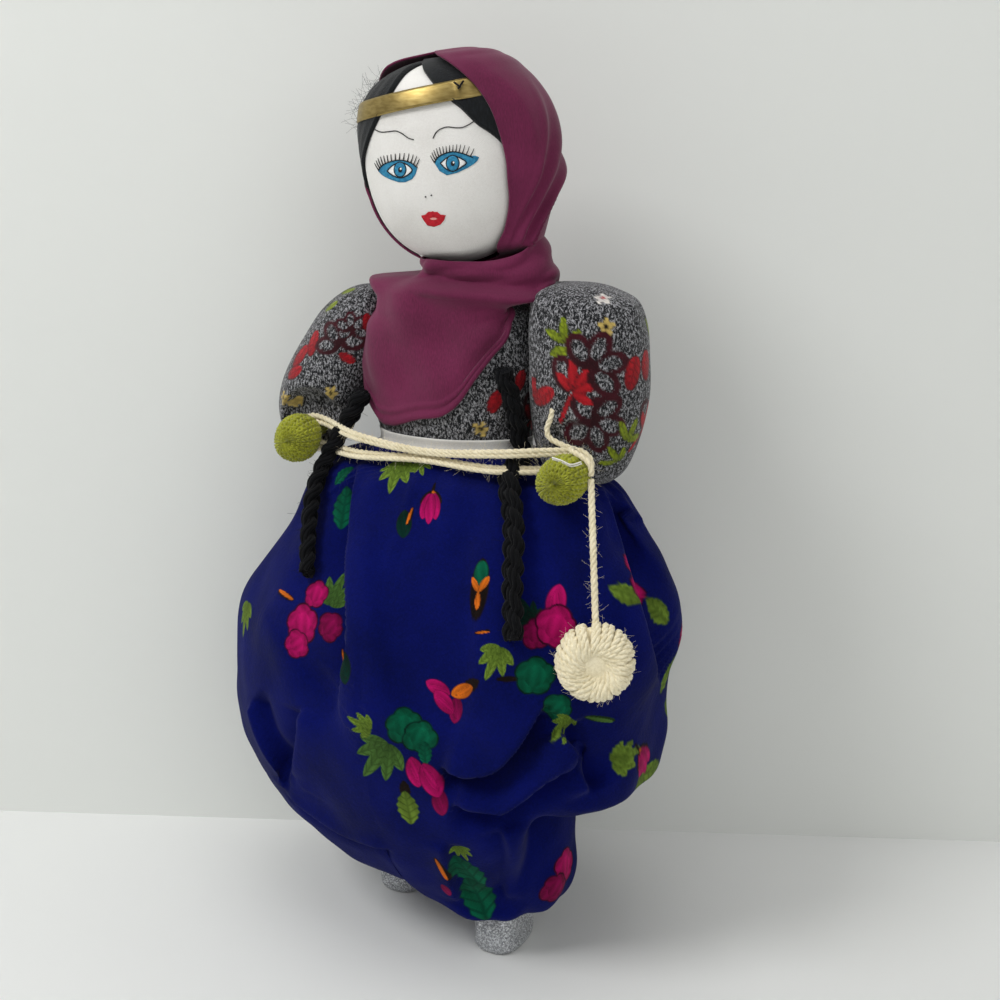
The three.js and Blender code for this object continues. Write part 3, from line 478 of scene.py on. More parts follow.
# %% Head
HEAD_SIZE = (38.0, 31.0, 40.0)
CHIN = 43.5
CROWN_BEND, CHIN_BEND = 3.7, 2.3
HEAD_HIGH, HEAD_TURN, HEAD_LEAN = 355, 7, -9.5
HEAD_PLACE = (
    Matrix.Translation((0, 0, HEAD_HIGH * MM))
    @ Matrix.Rotation(math.radians(HEAD_TURN), 4, "Z")
    @ Matrix.Rotation(math.radians(HEAD_LEAN), 4, "Y")
)


def to_doll(local):
    turn = np.array(HEAD_PLACE.to_3x3())
    return (local * MM) @ turn.T + np.array(HEAD_PLACE.translation)


def on_egg(angle, height, lift):
    reach = np.where(height > 0, HEAD_SIZE[2], CHIN) + lift
    power = np.where(height > 0, CROWN_BEND, CHIN_BEND)
    share = np.sqrt(np.clip(1 - np.clip(np.abs(height) / reach, 0, 1) ** power, 0, 1))
    out = lift * np.minimum(1, share * 3)
    wide, deep = share * HEAD_SIZE[0] + out, share * HEAD_SIZE[1] + out
    return np.stack([wide * np.sin(angle), -deep * np.cos(angle), height], 1)


def make_head():
    bm = bmesh.new()
    bmesh.ops.create_uvsphere(bm, u_segments=120, v_segments=84, radius=1.0)
    unit = np.array([v.co for v in bm.verts])
    height = unit[:, 2] * np.where(unit[:, 2] > 0, HEAD_SIZE[2], CHIN)
    local = on_egg(np.arctan2(unit[:, 0], -unit[:, 1]), height, 0.0)
    local *= (1 + 0.004 * ripple(local, 30.0, 2.0))[:, None]
    for vert, spot in zip(bm.verts, to_doll(local)):
        vert.co = spot
    return new_piece("head_skin", bm)


head = make_head()
dress(head, "head", "head_cloth", HEAD_COTTON, "head_cover", "head_stuffing")
HEAD_TREE = tree_of(head)

# %% [markdown]
# ## The painted face
# The face is drawn on the cloth with a fine brush, so each stroke is a thin film that follows the
# head. Strokes are drawn on a sheet with four units to a picture point and laid on by sight lines.
# A filled shape is a small grid pulled to its outline, and a line is a narrow grid along its course.

# %% Face films
SHEET_X, SHEET_Y, SHEET_SCALE = 350.0, 40.0, 0.25
FILM_THICK = 0.06 * MM
EDGE_POINTS = 12


def lay_on_head(verts, flat, lift):
    for vert, (x, y) in zip(verts, flat):
        spot, normal, _ = cast(HEAD_TREE, SHEET_X + x * SHEET_SCALE, SHEET_Y + y * SHEET_SCALE)
        vert.co = spot + normal * (lift * MM)


def fill(bm, outline, lift, cells=10):
    outline = np.array(outline, float)
    middle = (outline.max(0) + outline.min(0)) / 2
    sides = zip(outline, np.roll(outline, -1, 0))
    ring = np.concatenate([np.linspace(a, b, EDGE_POINTS, endpoint=False) for a, b in sides])
    away = ring - middle
    angle = np.arctan2(away[:, 1], away[:, 0])
    order = np.argsort(angle)
    made = bmesh.ops.create_grid(bm, x_segments=cells, y_segments=cells, size=1.0)["verts"]
    square = np.array([v.co[:2] for v in made])
    share = np.abs(square).max(1)
    turn = np.arctan2(square[:, 1], square[:, 0])
    reach = np.interp(turn, angle[order], np.linalg.norm(away, axis=1)[order], period=2 * math.pi)
    way = np.stack([np.cos(turn), np.sin(turn)], 1)
    lay_on_head(made, middle + way * (share * reach)[:, None], lift)


def stroke(bm, line, width, lift, taper=0.0):
    count = max(6, 4 * len(line))
    made = bmesh.ops.create_grid(bm, x_segments=count, y_segments=1, size=0.5)["verts"]
    flat = np.array([v.co[:2] for v in made])
    t = flat[:, 0] + 0.5
    x, y = along(line, t).T
    way = along(line, np.minimum(t + 0.01, 1.0)) - along(line, np.maximum(t - 0.01, 0.0))
    way /= np.linalg.norm(way, axis=1)[:, None]
    half = flat[:, 1] * width * (1 - taper * t)
    lay_on_head(made, np.stack([x - way[:, 1] * half, y + way[:, 0] * half], 1), lift)


def oval(x, y, wide, tall, count=20):
    turn = np.linspace(0, 2 * math.pi, count, endpoint=False)
    return np.stack([x + wide * np.cos(turn), y + tall * np.sin(turn)], 1)


EYES = (
    {
        "shadow": [(113, 524), (128, 502), (155, 487), (200, 478), (245, 490), (270, 510), (264, 535),
                   (250, 556), (222, 569), (195, 569), (160, 557), (132, 543)],
        "white": [(150, 524), (172, 502), (202, 490), (230, 499), (250, 520), (232, 540), (203, 551),
                  (172, 541)],
        "iris": (202, 518, 23, 29),
        "lid": [(115, 522), (130, 502), (158, 488), (200, 480), (243, 490), (271, 511)],
    },
    {
        "shadow": [(337, 490), (352, 468), (378, 453), (410, 447), (445, 452), (478, 464), (519, 462),
                   (508, 488), (470, 512), (430, 531), (388, 541), (358, 524)],
        "white": [(362, 493), (384, 474), (410, 462), (440, 472), (466, 491), (440, 512), (412, 525),
                  (384, 515)],
        "iris": (411, 493, 25, 31),
        "lid": [(337, 492), (352, 469), (379, 454), (412, 447), (448, 453), (492, 470)],
    },
)
LASHES, LASH_LONG, LASH_WIDE, LID_WIDE, RING_WIDE = 14, 31, 4.6, 4.0, 4.2
EYE_LIFT = {"shadow": 0.10, "white": 0.20, "rim": 0.26, "lash": 0.28, "line": 0.30, "iris": 0.32,
            "pupil": 0.38, "spark": 0.44}


def paint_eyes():
    films = {name: bmesh.new() for name in ("shadow", "white", "line", "iris", "spark")}
    for part in EYES:
        fill(films["shadow"], part["shadow"], EYE_LIFT["shadow"], 14)
        fill(films["white"], part["white"], EYE_LIFT["white"], 12)
        x, y, wide, tall = part["iris"]
        fill(films["line"], oval(x, y, wide + 3, tall + 3), EYE_LIFT["rim"])
        fill(films["iris"], oval(x, y, wide - 1, tall - 1), EYE_LIFT["iris"])
        fill(films["line"], oval(x + 1, y + 1, 8, 11), EYE_LIFT["pupil"], 6)
        fill(films["spark"], oval(x + 4, y - 3, 3.4, 4.2), EYE_LIFT["spark"], 4)
        stroke(films["line"], part["white"] + part["white"][:1], RING_WIDE, EYE_LIFT["line"])
        stroke(films["line"], part["lid"], LID_WIDE, EYE_LIFT["line"])
        for k in range(LASHES):
            t = (k + 0.3) / LASHES
            root = along(part["lid"], np.array([t]))[0]
            lean = mix(-0.55, 0.5, t)
            long = LASH_LONG + 4 * math.sin(9 * t)
            tip = root + long * np.array([math.sin(lean), -math.cos(lean)])
            bend = (root + tip) / 2 + np.array([2.5 * lean, 0])
            stroke(films["line"], [root, bend, tip], LASH_WIDE, EYE_LIFT["lash"], 0.55)
    return films


def film_piece(name, bm, material):
    piece = new_piece(name, bm)
    thicken(piece, FILM_THICK)
    return dress(piece, "head", "head_cloth", material)


eye_films = paint_eyes()
film_piece("eye_shadow", eye_films["shadow"], PAINT_BLUE)
film_piece("eye_white", eye_films["white"], PAINT_WHITE)
film_piece("eye_line", eye_films["line"], PAINT_BLACK)
film_piece("eye_iris", eye_films["iris"], PAINT_BLUE)
film_piece("eye_spark", eye_films["spark"], PAINT_WHITE)

# %% Brows, nose and lips
BROWS = [
    [(98, 357), (124, 368), (154, 367), (184, 364), (210, 375), (234, 392), (256, 399)],
    [(332, 394), (345, 370), (365, 355), (391, 348), (421, 351), (450, 350), (476, 338), (498, 324)],
]
NOSTRILS = [(303, 627), (326, 621)]
LIPS = [(283, 702), (301, 699), (314, 686), (325, 687), (331, 683), (339, 688), (349, 686), (362, 698),
        (384, 700), (377, 720), (362, 738), (336, 747), (310, 741), (296, 722)]
LIP_LIGHT = (335, 714, 15, 4.5)
BROW_WIDE, BROW_LIFT, LIP_LIFT, LIGHT_LIFT = 4.0, 0.2, 0.15, 0.24
lines, lips, shine = bmesh.new(), bmesh.new(), bmesh.new()
for brow in BROWS:
    stroke(lines, brow, BROW_WIDE, BROW_LIFT)
for x, y in NOSTRILS:
    fill(lines, oval(x, y, 3.4, 3.6, 10), BROW_LIFT, 4)
film_piece("brows", lines, PAINT_BLACK)
fill(lips, LIPS, LIP_LIFT, 14)
film_piece("lips", lips, PAINT_RED)
fill(shine, oval(*LIP_LIGHT), LIGHT_LIFT, 6)
film_piece("lip_light", shine, PAINT_PINK)

# %% [markdown]
# ## Hair bands and ribbon
# Under the scarf, two flat bands of dark wool felt run from a centre part to each side, and a gold
# ribbon crosses the brow over them. Both lie on the head, so they are grids on the same egg, a felt's
# thickness out.

# %% Hair
HAIR_LIFT, HAIR_TUCK, HAIR_THICK = 1.3, 0.25, 0.5
# How far round the head the felt goes, in degrees: at the sides, and at the crown, where it closes.
HAIR_BACK, HAIR_CLOSED = 100, 180
HAIR_CROWN = (36, 40)
HAIR_LINES = {
    1: [(-6, 33.5), (-2, 33), (3, 31), (7, 28), (10, 25), (14, 22), (18, 19), (21, 16), (25, 12.5),
        (29, 8.7), (33, 5.0), (37, 0.8), (39.8, -2.0), (41.54, -2.8)],
    -1: [(-6, 37.5), (1, 35.5), (5, 33), (10, 28), (15, 23), (20, 18), (25, 13.6), (29, 11), (33, 8.7),
         (37, 6.6), (39.8, 4.0), (41.54, 3.0)],
}


def hair_band(name, side):
    line = HAIR_LINES[side]

    def place(u, v):
        height = mix(line[0][0], line[-1][0], v)
        lift = HAIR_LIFT + 0.1 * np.sin(u * 37 + 3 * v) * (u > 0.02) * ease(*HAIR_CROWN[::-1], height)
        edge = ease(0, 0.03, u)
        reach = np.maximum(on_egg(np.full_like(u, math.pi / 2), height, HAIR_LIFT)[:, 0], 0.5)
        start = np.arcsin(np.clip(glide(line, height) / reach, -1, 1))
        end = np.radians(mix(HAIR_BACK, HAIR_CLOSED, ease(*HAIR_CROWN, height)))
        angle = mix(start, end, u)
        return to_doll(on_egg(angle, height, HAIR_TUCK + lift * edge) * np.array([side, 1, 1]))

    piece = grid_piece(name + "_band", 70, 90, place, HEAD_PLACE.translation)
    thicken(piece, HAIR_THICK * MM)
    return dress(piece, "head", "hair_felt", HAIR_FELT, name)


hair_band("hair_left", 1)
hair_band("hair_right", -1)

# %% Gold ribbon
RIBBON_WIDTH, RIBBON_THICK, RIBBON_HIGH, RIBBON_LIFT = 7.7, 0.35, 25.0, 2.3
RIBBON_ENDS = (-60, 57)


def ribbon_place(u, v):
    angle = np.radians(mix(*RIBBON_ENDS, u))
    bend = ease(0.74, 0.78, u) * ease(0.9, 0.82, u)
    rise = RIBBON_HIGH + 1.2 * (u - 0.5) + (v - 0.5) * RIBBON_WIDTH * (1 + 0.05 * bend)
    lift = RIBBON_LIFT + 0.5 * bend + 0.8 * ease(0.3, 0.1, u)
    local = on_egg(angle, rise, 0.0)
    base = on_egg(angle, np.full_like(rise, RIBBON_HIGH + 0.5), 0.0)
    local[:, :2] = mix(local[:, :2], base[:, :2], 0.35)
    way = local[:, :2] / np.linalg.norm(local[:, :2], axis=1)[:, None]
    local[:, :2] += way * lift[:, None]
    return to_doll(local)


ribbon = thicken(grid_piece("ribbon", 90, 8, ribbon_place, HEAD_PLACE.translation), RIBBON_THICK * MM)
dress(ribbon, "head", "gold_ribbon", GOLD_RIBBON, "headband")

# %% [markdown]
# ## The scarf's hood
# One plum scarf goes over the head, frames the face, and is drawn together under the chin. Its
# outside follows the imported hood. The grid's two ends are the scarf's edges beside the face, so the
# edge is clean, and the folds that run from the back to the chin are pushed into the cloth.

# %% Hood
SCARF_THICK = 0.9
HOOD_OUTLINE = [(-60, 27), (-46, 31), (-36, 35), (-28, 38.6), (-21, 42), (-13, 45.3), (-5, 46.6),
                (5, 47.2), (12, 46.6), (22, 43.5), (31, 37.6), (38, 30), (41.8, 21.5), (43.8, 9),
                (44.3, 0.2)]
HOOD_EDGE = [(-60, 14), (-46, 15.5), (-39, 19), (-33, 24.5), (-27, 28), (-20, 30.5), (-13, 31.5),
             (-5, 32.3), (2, 32), (9, 31.2), (16, 29.8), (22, 27.4), (28, 23.6), (34, 18.4),
             (39, 12.5), (42, 7.5), (44.3, 3)]
RIM_LIFT, CROWN_LIFT, JAW_LIFT = 2.3, 4.6, 1.1
HOOD_CROWN, HOOD_FOOT, HOOD_HITCH = 44.3, -46.0, 11.0
# The hood's depth as a share of its width, in front and behind.
HOOD_DEPTH = (0.83, 0.97)


def hood_folds(angle, height):
    """How far the cloth stands out: long folds that start wide apart behind and meet beside the chin."""
    open_share = ease(-42, 18, height)
    phase = (np.degrees(angle) - 58 - 14 * open_share) / (20 + 80 * open_share)
    inside = ease(0.02, 0.15, phase) * ease(1.5, 0.9, phase)
    sharp = np.sin(2 * math.pi * (3.1 * phase + 0.25 * np.sin(5 * phase)))
    return inside * (1.7 * sharp + 0.9 * np.sin(17 * phase)) * ease(34, -6, height)


def hood_place(u, v):
    foot = HOOD_FOOT + HOOD_HITCH * ease(0, 0.34, u) * ease(1, 0.8, u)
    height = mix(foot, HOOD_CROWN, np.sin(v * math.pi / 2))
    crown = ease(24, 41, height)
    aside = np.full_like(u, math.pi / 2)
    cap = glide(HOOD_OUTLINE, height)
    right_rim = np.minimum(on_egg(aside, height, mix(RIM_LIFT, CROWN_LIFT, crown))[:, 0], cap)
    left_lift = mix(JAW_LIFT, RIM_LIFT, ease(-12, -3, height))
    left_lift = mix(left_lift, CROWN_LIFT, ease(35, 43.5, height))
    left_rim = np.minimum(on_egg(aside, height, left_lift)[:, 0], cap)
    start = np.arcsin(np.clip(glide(HOOD_EDGE, height) / np.maximum(right_rim, 0.1), -1, 1))
    end = 2 * math.pi - np.radians(mix(70, 96, ease(-14, 14, height)) - 34 * ease(33, 43, height))
    angle = mix(start, end, u)
    full_right = ease(0, 0.32, angle - start)
    full_left = ease(0, 1.5, end - angle)
    rim = mix(left_rim, right_rim, ease(4.2, 2.6, angle))
    wide = mix(rim, cap, full_right * full_left)
    wide = wide + hood_folds(angle, height) * full_right
    deep = wide * mix(*HOOD_DEPTH, ease(0.3, -0.8, np.cos(angle)))
    return to_doll(np.stack([wide * np.sin(angle), -deep * np.cos(angle), height], 1))


hood = grid_piece("hood_cloth", 200, 120, hood_place, HEAD_PLACE.translation)
push_out(hood, 0.3 * ripple(points_of(hood), 0.035, 5.0))
thicken(hood, SCARF_THICK * MM)
dress(hood, "head", "scarf_cloth", SCARF_CREPE, "scarf_hood")

# %% [markdown]
# ## The scarf's chest panel
# The scarf's other end wraps the neck and falls over the chest as a panel with a narrow hem. It is
# one grid from the collar's edge to the hem, laid over the blouse, with the diagonal folds of the wrap.

# %% Chest panel
BODY_Y = 5.0
# Each row of the trunk: height, half width, half depth.
TRUNK_OUTLINE = [(169, 25.8, 16.7), (176, 32.6, 20.7), (193, 34, 22), (213, 32, 20.5), (228, 32, 20.5),
                 (248.5, 34.3, 22), (276, 35.4, 22.5), (288, 33.8, 20.8), (295, 28, 17), (298, 14.5, 13.5)]
# The hem: compass turn from the front, in degrees, and height.
PANEL_HEM = [(-180, 284), (-150, 282), (-125, 280), (-105, 275), (-90, 268), (-73, 258), (-60, 251),
             (-50, 246), (-42, 241.5), (-31, 241), (-7, 246), (13, 250), (20, 254), (31, 264.5),
             (43, 274.5), (54, 282), (62, 291), (72, 299), (90, 303), (110, 300), (140, 290), (180, 284)]
COLLAR_LEFT, COLLAR_RIGHT, COLLAR_TUCK = 43.5, 11.0, 0.18
COLLAR_FRONT, COLLAR_BACK = 22.0, 33.0
SHOULDER_LEFT, SHOULDER_RIGHT, SHOULDER_DEEP = 46.5, 41.5, 26.5
# Heights in front, and how much higher they lie at the side and behind.
COLLAR_TOP, TOP_RISE = 314.0, 17.0
COLLAR_FOOT, FOOT_RISE = 306.0, 6.0
LAP_HIGH, LAP_RISE, NECK_Z = 299.0, 3.5, 297.5
# How far down the cloth the collar and the wrap's lap end.
COLLAR_END, LAP_END = 0.16, 0.36


def body_spot(angle, height, grow):
    """A point on the dressed body, which is fuller on the doll's right side."""
    wide = glide([(z, w) for z, w, d in TRUNK_OUTLINE], height) + grow
    deep = glide([(z, d) for z, w, d in TRUNK_OUTLINE], height) + grow
    full = 0.22 * ease(300, 282, height) * mix(0.55, 1, ease(233, 248, height))
    wide = wide * np.where(np.sin(angle) < 0, 1 + full, 1.0)
    return wide * np.sin(angle), BODY_Y - deep * np.cos(angle)


def panel_place(u, v):
    angle = mix(-math.pi, math.pi, u)
    turn = np.degrees(angle)
    s, c = np.sin(angle), np.cos(angle)
    rise = ease(35, 115, turn) + ease(-100, -175, turn)
    under = 1 - COLLAR_TUCK * rise * ease(0.12, 0.03, v)
    ring_x = mix(COLLAR_RIGHT, COLLAR_LEFT, ease(-0.35, 0.95, s)) * s * under
    ring_y = BODY_Y - mix(COLLAR_FRONT, COLLAR_BACK, ease(0.2, -0.9, c)) * c * under
    hem = glide(PANEL_HEM, turn)
    lap = LAP_HIGH + LAP_RISE * ease(-20, -65, turn) * ease(-170, -105, turn)
    lap = np.maximum(lap, hem + 2.0)
    top, base = COLLAR_TOP + TOP_RISE * rise, COLLAR_FOOT + FOOT_RISE * rise
    wrapped = np.clip((v - COLLAR_END) / (LAP_END - COLLAR_END), 0, 1)
    height = np.where(v < COLLAR_END, mix(top, base, v / COLLAR_END), mix(base, lap, wrapped))
    height = np.where(v > LAP_END, mix(lap, hem, (v - LAP_END) / (1 - LAP_END)), height)
    chest_x, chest_y = body_spot(angle, np.minimum(height, NECK_Z), 2.8)
    spread, settle = ease(0.13, LAP_END, v), ease(LAP_END, 0.62, v)
    x = mix(mix(ring_x, mix(SHOULDER_RIGHT, SHOULDER_LEFT, s > 0) * s, spread), chest_x, settle)
    y = mix(mix(ring_y, BODY_Y - SHOULDER_DEEP * c, spread), chest_y, settle)
    drape = 1.3 * np.sin(turn * 0.075 + v * 7) + 0.7 * np.sin(turn * 0.17 - v * 9 + 2)
    wrap = 1.6 * np.sin(turn * 0.055 - v * 22 + 1) * ease(0.06, 0.14, v) * ease(0.55, 0.3, v)
    hem_fold = 0.9 * bell(v - 0.985, 0.02) + 0.7 * bell(v - 0.93, 0.012)
    roll = 0.8 * bell(v - 0.04, 0.04) + 0.5 * np.sin(turn * 0.12 + 40 * v) * ease(0.3, 0.1, v)
    grow = drape * ease(0.1, 0.4, v) * ease(0.97, 0.75, v) + hem_fold + roll * (1 - rise) + wrap
    return np.stack([x + grow * s, y - grow * c, height], 1) * MM


panel = grid_piece("panel_cloth", 240, 120, panel_place, (0, 0.005, 0.27))
thicken(panel, SCARF_THICK * MM, inward=False)
dress(panel, "torso", "scarf_cloth", SCARF_CREPE, "scarf_bib", "neck")

# %% [markdown]
# ## Printing flowers on cloth
# The blouse and trousers are printed cloth. A print is painted into the cloth's own points: each
# petal or leaf is an outline drawn round a point of the surface, with darker edges and veins. The
# attribute keeps the colour and how much of it covers, and the finish adds the thread.

# %% Printing tool


class Print:
    def __init__(self, piece):
        self.piece = piece
        self.co = points_of(piece)
        self.normal = normals_of(piece)
        self.colour = np.zeros((len(self.co), 4))

    def aim(self, spot, normal, up, size):
        """Draws round this spot from now on, in millimetres, with up along the cloth."""
        out = np.array(normal)
        rise = np.array(up) - out * np.dot(up, out)
        rise /= np.linalg.norm(rise)
        aside = np.cross(rise, out)
        away = self.co - np.array(spot)
        near = (np.linalg.norm(away, axis=1) < size * MM) & (self.normal @ out > -0.1)
        self.pick = np.nonzero(near)[0]
        self.x = away[self.pick] @ aside / MM
        self.y = away[self.pick] @ rise / MM
        return len(self.pick)

    def petal(self, at, turn, long, wide, tint, edge=None, vein=None, blunt=0.55, notch=0.0, rim=0.3):
        """A petal or leaf from its base at a point, turned from straight up, in millimetres.
        Without a tint it takes the print away again."""
        if not len(self.pick):
            return
        c, s = math.cos(math.radians(turn)), math.sin(math.radians(turn))
        x, y = self.x - at[0], self.y - at[1]
        p = (x * s + y * c) / long
        q = (x * c - y * s) * 2 / wide
        shape = np.clip(4 * p * (1 - p), 0, 1) ** blunt * (1 + notch * np.sin(p * 34))
        inside = shape - np.abs(q)
        cover = ease(0.0, 0.16, inside) * (p > 0) * (p < 1)
        if tint is None:
            self.colour[self.pick, 3] *= 1 - cover
            return
        tone = np.array(tint[:3])[None, :] * (0.62 + 0.5 * p + 0.16 * np.sin(q * 6 + p * 5))[:, None]
        if vein is not None:
            ribs = ease(0.55, 0.9, np.sin((p * 5 + np.abs(q) * 1.1) * 6.28))
            line = np.maximum(bell(q, 0.12), ribs)
            tone = mix(tone, np.array(vein[:3])[None, :], (0.55 * line)[:, None])
        if edge is not None:
            tone = mix(tone, np.array(edge[:3])[None, :], ease(rim, rim * 0.3, inside)[:, None])
        old = self.colour[self.pick]
        new = np.concatenate([tone, np.ones((len(tone), 1))], 1)
        self.colour[self.pick] = mix(old, new, cover[:, None])
        self.colour[self.pick, :3] = np.where(
            (old[:, 3:] < 0.02) & (cover[:, None] > 0), tone, self.colour[self.pick, :3])

    def keep(self):
        layer = self.piece.data.attributes.new("print", "FLOAT_COLOR", "POINT")
        layer.data.foreach_set("color", self.colour.astype(np.float32).ravel())


ROSE, ROSE_MID, ROSE_DARK = ink(172, 14, 92), ink(128, 10, 70), ink(64, 4, 40)
LEAF, LEAF_DARK = ink(104, 130, 46), ink(44, 62, 20)
MOSS, MOSS_DARK = ink(70, 104, 46), ink(30, 50, 22)
DEEP, DEEP_DARK = ink(6, 88, 62), ink(3, 42, 34)
ORANGE, BROWN = ink(206, 104, 26), ink(26, 17, 14)
RED, MAROON = ink(172, 20, 32), ink(58, 8, 20)
LIME, LIME_DARK = ink(138, 156, 30), ink(34, 40, 8)
STRAW, CHALK = ink(196, 170, 96), ink(226, 220, 214)
MOTIF_REACH = 2.6


def lobe(p, at, radius, tint, edge, turn):
    c, s = math.cos(math.radians(turn)), math.sin(math.radians(turn))
    p.petal((at[0] - radius * s, at[1] - radius * c), turn, radius * 2, radius * 2, tint, edge, blunt=0.5)


def blossom(p, size, turn=0, tint=ROSE, shade=ROSE_DARK, at=(0, 0)):
    """A solid rounded flower or leaf with a scalloped rim, as thick wool embroiders it."""
    for reach, dye in ((0.64, shade), (0.55, tint)):
        for k in range(5):
            a = turn + 72 * k
            x, y = spun((0, size * 0.4), a)
            radius = size * (reach + 0.05 * math.sin(3 * k + turn))
            lobe(p, (x + at[0], y + at[1]), radius, dye, None, a + 150)
    lobe(p, at, size * 0.55, tint, None, turn + 20)


def rose(p, size, turn=0):
    """Three rounded petals that overlap."""
    for lean in (0, 125, 240):
        blossom(p, size * 0.68, turn + lean, at=spun((0, size * 0.55), turn + lean))


def spun(at, turn):
    c, s = math.cos(math.radians(turn)), math.sin(math.radians(turn))
    return (at[0] * c + at[1] * s, at[1] * c - at[0] * s)


def bud(p, size, turn=0, tint=ROSE, shade=ROSE_DARK):
    """A closed flower: stem and husk at its base, then three long petals."""
    p.petal(spun((0, -size * 1.25), turn), turn, size * 0.9, size * 0.2, BROWN)
    for lean, dye in ((-38, BROWN), (36, BROWN), (-18, ORANGE)):
        p.petal(spun((0, -size * 0.75), turn), turn + lean, size * 0.95, size * 0.4, dye, BROWN)
    for lean, long in ((-10, 1.5), (10, 1.45), (0, 1.7)):
        base = spun((lean * size * 0.012, -size * 0.6), turn)
        p.petal(base, turn + lean, size * long, size * 0.66, tint, shade, blunt=0.62, rim=0.24)


def leaf(p, size, turn=0, tint=LEAF, shade=LEAF_DARK):
    base = spun((0, -size), turn)
    p.petal(base, turn, size * 2, size * 1.15, tint, shade, shade, blunt=0.7, notch=0.07, rim=0.2)


def flame(p, size, turn=0, tint=ROSE, shade=ROSE_DARK):
    """A plain pointed petal with a fold along it."""
    p.petal(spun((0, -size), turn), turn, size * 2, size * 1.2, tint, shade, blunt=0.6, rim=0.22)
    base = spun((size * 0.08, -size * 0.9), turn)
    p.petal(base, turn - 7, size * 1.6, size * 0.42, tint, shade, blunt=0.7, rim=0.2)


def ragged(p, size, turn=0, tint=LEAF, shade=LEAF_DARK):
    """A leaf with several pointed tips."""
    base = spun((0, -size * 0.75), turn)
    for lean, long in ((-58, 0.78), (56, 0.74), (-28, 1.05), (27, 1.0), (0, 1.3)):
        long = size * long * 1.4
        p.petal(base, turn + lean, long, size * 0.52, tint, shade, shade, blunt=0.75, rim=0.16)


def stem(p, size, turn=0, tint=ORANGE, shade=BROWN):
    p.petal(spun((0, -size), turn), turn, size * 2, size * 0.5, shade, blunt=0.4)
    p.petal(spun((0, -size * 0.9), turn), turn + 3, size * 1.8, size * 0.28, tint, blunt=0.4)


def thistle(p, size, turn=0):
    """A dark bulb that stands in an orange husk on a stem."""
    p.petal(spun((0, -size * 1.5), turn), turn, size * 2.7, size * 0.95, BROWN, blunt=0.5)
    p.petal(spun((0, -size * 0.1), turn), turn, size * 1.2, size * 0.75, DEEP, DEEP_DARK, blunt=0.45)
    for lean, long in ((-34, 0.75), (30, 0.8), (180, 0.75)):
        p.petal(spun((0, -size * 0.25), turn), turn + lean, size * long, size * 0.32, ORANGE, BROWN, rim=0.2)


def red_bloom(p, size, turn=0):
    """Long red petals that open to one side, and a round maroon outline behind them."""
    loops(p, size * 0.95, turn + 20)
    for lean, long in ((-66, 0.8), (-24, 1.15), (12, 1.2), (48, 0.9), (96, 0.75)):
        p.petal((0, 0), turn + lean, size * long, size * 0.36, RED, MAROON, blunt=0.55)
    p.petal((0, 0), turn + 178, size * 1.2, size * 0.2, RED, MAROON)


def lime_sprig(p, size, turn=0):
    base = spun((0, -size * 0.5), turn)
    for lean, share in ((-40, 1.0), (12, 1.0), (70, 0.75)):
        p.petal(base, turn + lean, size * share * 1.3, size * 0.5, LIME, LIME_DARK, LIME_DARK)


def red_petal(p, size, turn=0):
    p.petal(spun((0, -size), turn), turn, size * 2, size * 1.25, RED, MAROON, MAROON, blunt=0.45)


def loops(p, size, turn=0):
    """Round petals drawn as a thick maroon line, with the cloth left bare inside."""
    for lean in (-70, -15, 40, 95):
        p.petal((0, 0), turn + lean, size * 1.3, size * 0.95, MAROON, blunt=0.42)
    for lean in (-70, -15, 40, 95):
        p.petal(spun((0, size * 0.3), turn + lean), turn + lean, size * 0.78, size * 0.5, None, blunt=0.45)


def star(p, size, turn=0, tint=STRAW, heart=BROWN):
    for k in range(5):
        p.petal((0, 0), turn + 72 * k, size, size * 0.62, tint, blunt=0.5)
    p.petal((0, -size * 0.25), 0, size * 0.5, size * 0.5, heart, blunt=0.5)


def white_star(p, size, turn=0):
    star(p, size, turn, CHALK, RED)


def print_at(p, tree, motif, x, y, size, turn=0):
    """Prints a motif where a sight line meets the cloth; size is in points of the picture."""
    spot, normal, far = cast(tree, x, y)
    if spot is None:
        print("no cloth at", x, y)
        return
    scale = far / FOCAL / MM
    p.aim(spot, normal, UP, size * scale * MOTIF_REACH)
    motif(p, size * scale, turn)


def print_round(p, tree, motif, turn_at, height, size, turn=0, axis=(0, 0)):
    """Prints a motif on the side that a compass turn gives, from the front towards the left hand."""
    a = math.radians(turn_at)
    way = Vector((-math.sin(a), math.cos(a), 0))
    start = Vector((axis[0] * MM, axis[1] * MM, height * MM)) - way * 0.5
    spot, normal, _, _ = tree.ray_cast(start, way)
    if spot is None:
        return
    p.aim(spot, normal, (0, 0, 1), size * MOTIF_REACH)
    motif(p, size, turn)


print("printing tool ready")

# %% [markdown]
# ## The trousers
# Wide wool trousers hang from the waist and are drawn in at the ankles. Real ones are two legs sewn
# along the middle, so they are made as two halves that meet at that seam. A half starts as a wide
# half ring at the waist and closes round the ankle of its own leg.

# %% Trouser shape
HIP_Z, WAIST_Z, ANKLE_Z = 165.0, 230.0, 24.5
OUTSIDE = 0.82
# Height, and half depth of the cloth there.
FRONT_DEPTH = [(20, 30), (24, 33), (28, 38.5), (33, 43.5), (40, 49.5), (49, 55), (57, 60), (71, 66.5),
               (85, 71), (101, 74), (116, 74.5), (132, 74), (147, 71.5), (159, 68.5), (175, 63),
               (190, 56), (203, 48.5), (213, 43), (220, 38), (223.5, 33), (227.5, 28.5), (229.8, 25.4),
               (230.4, 24)]
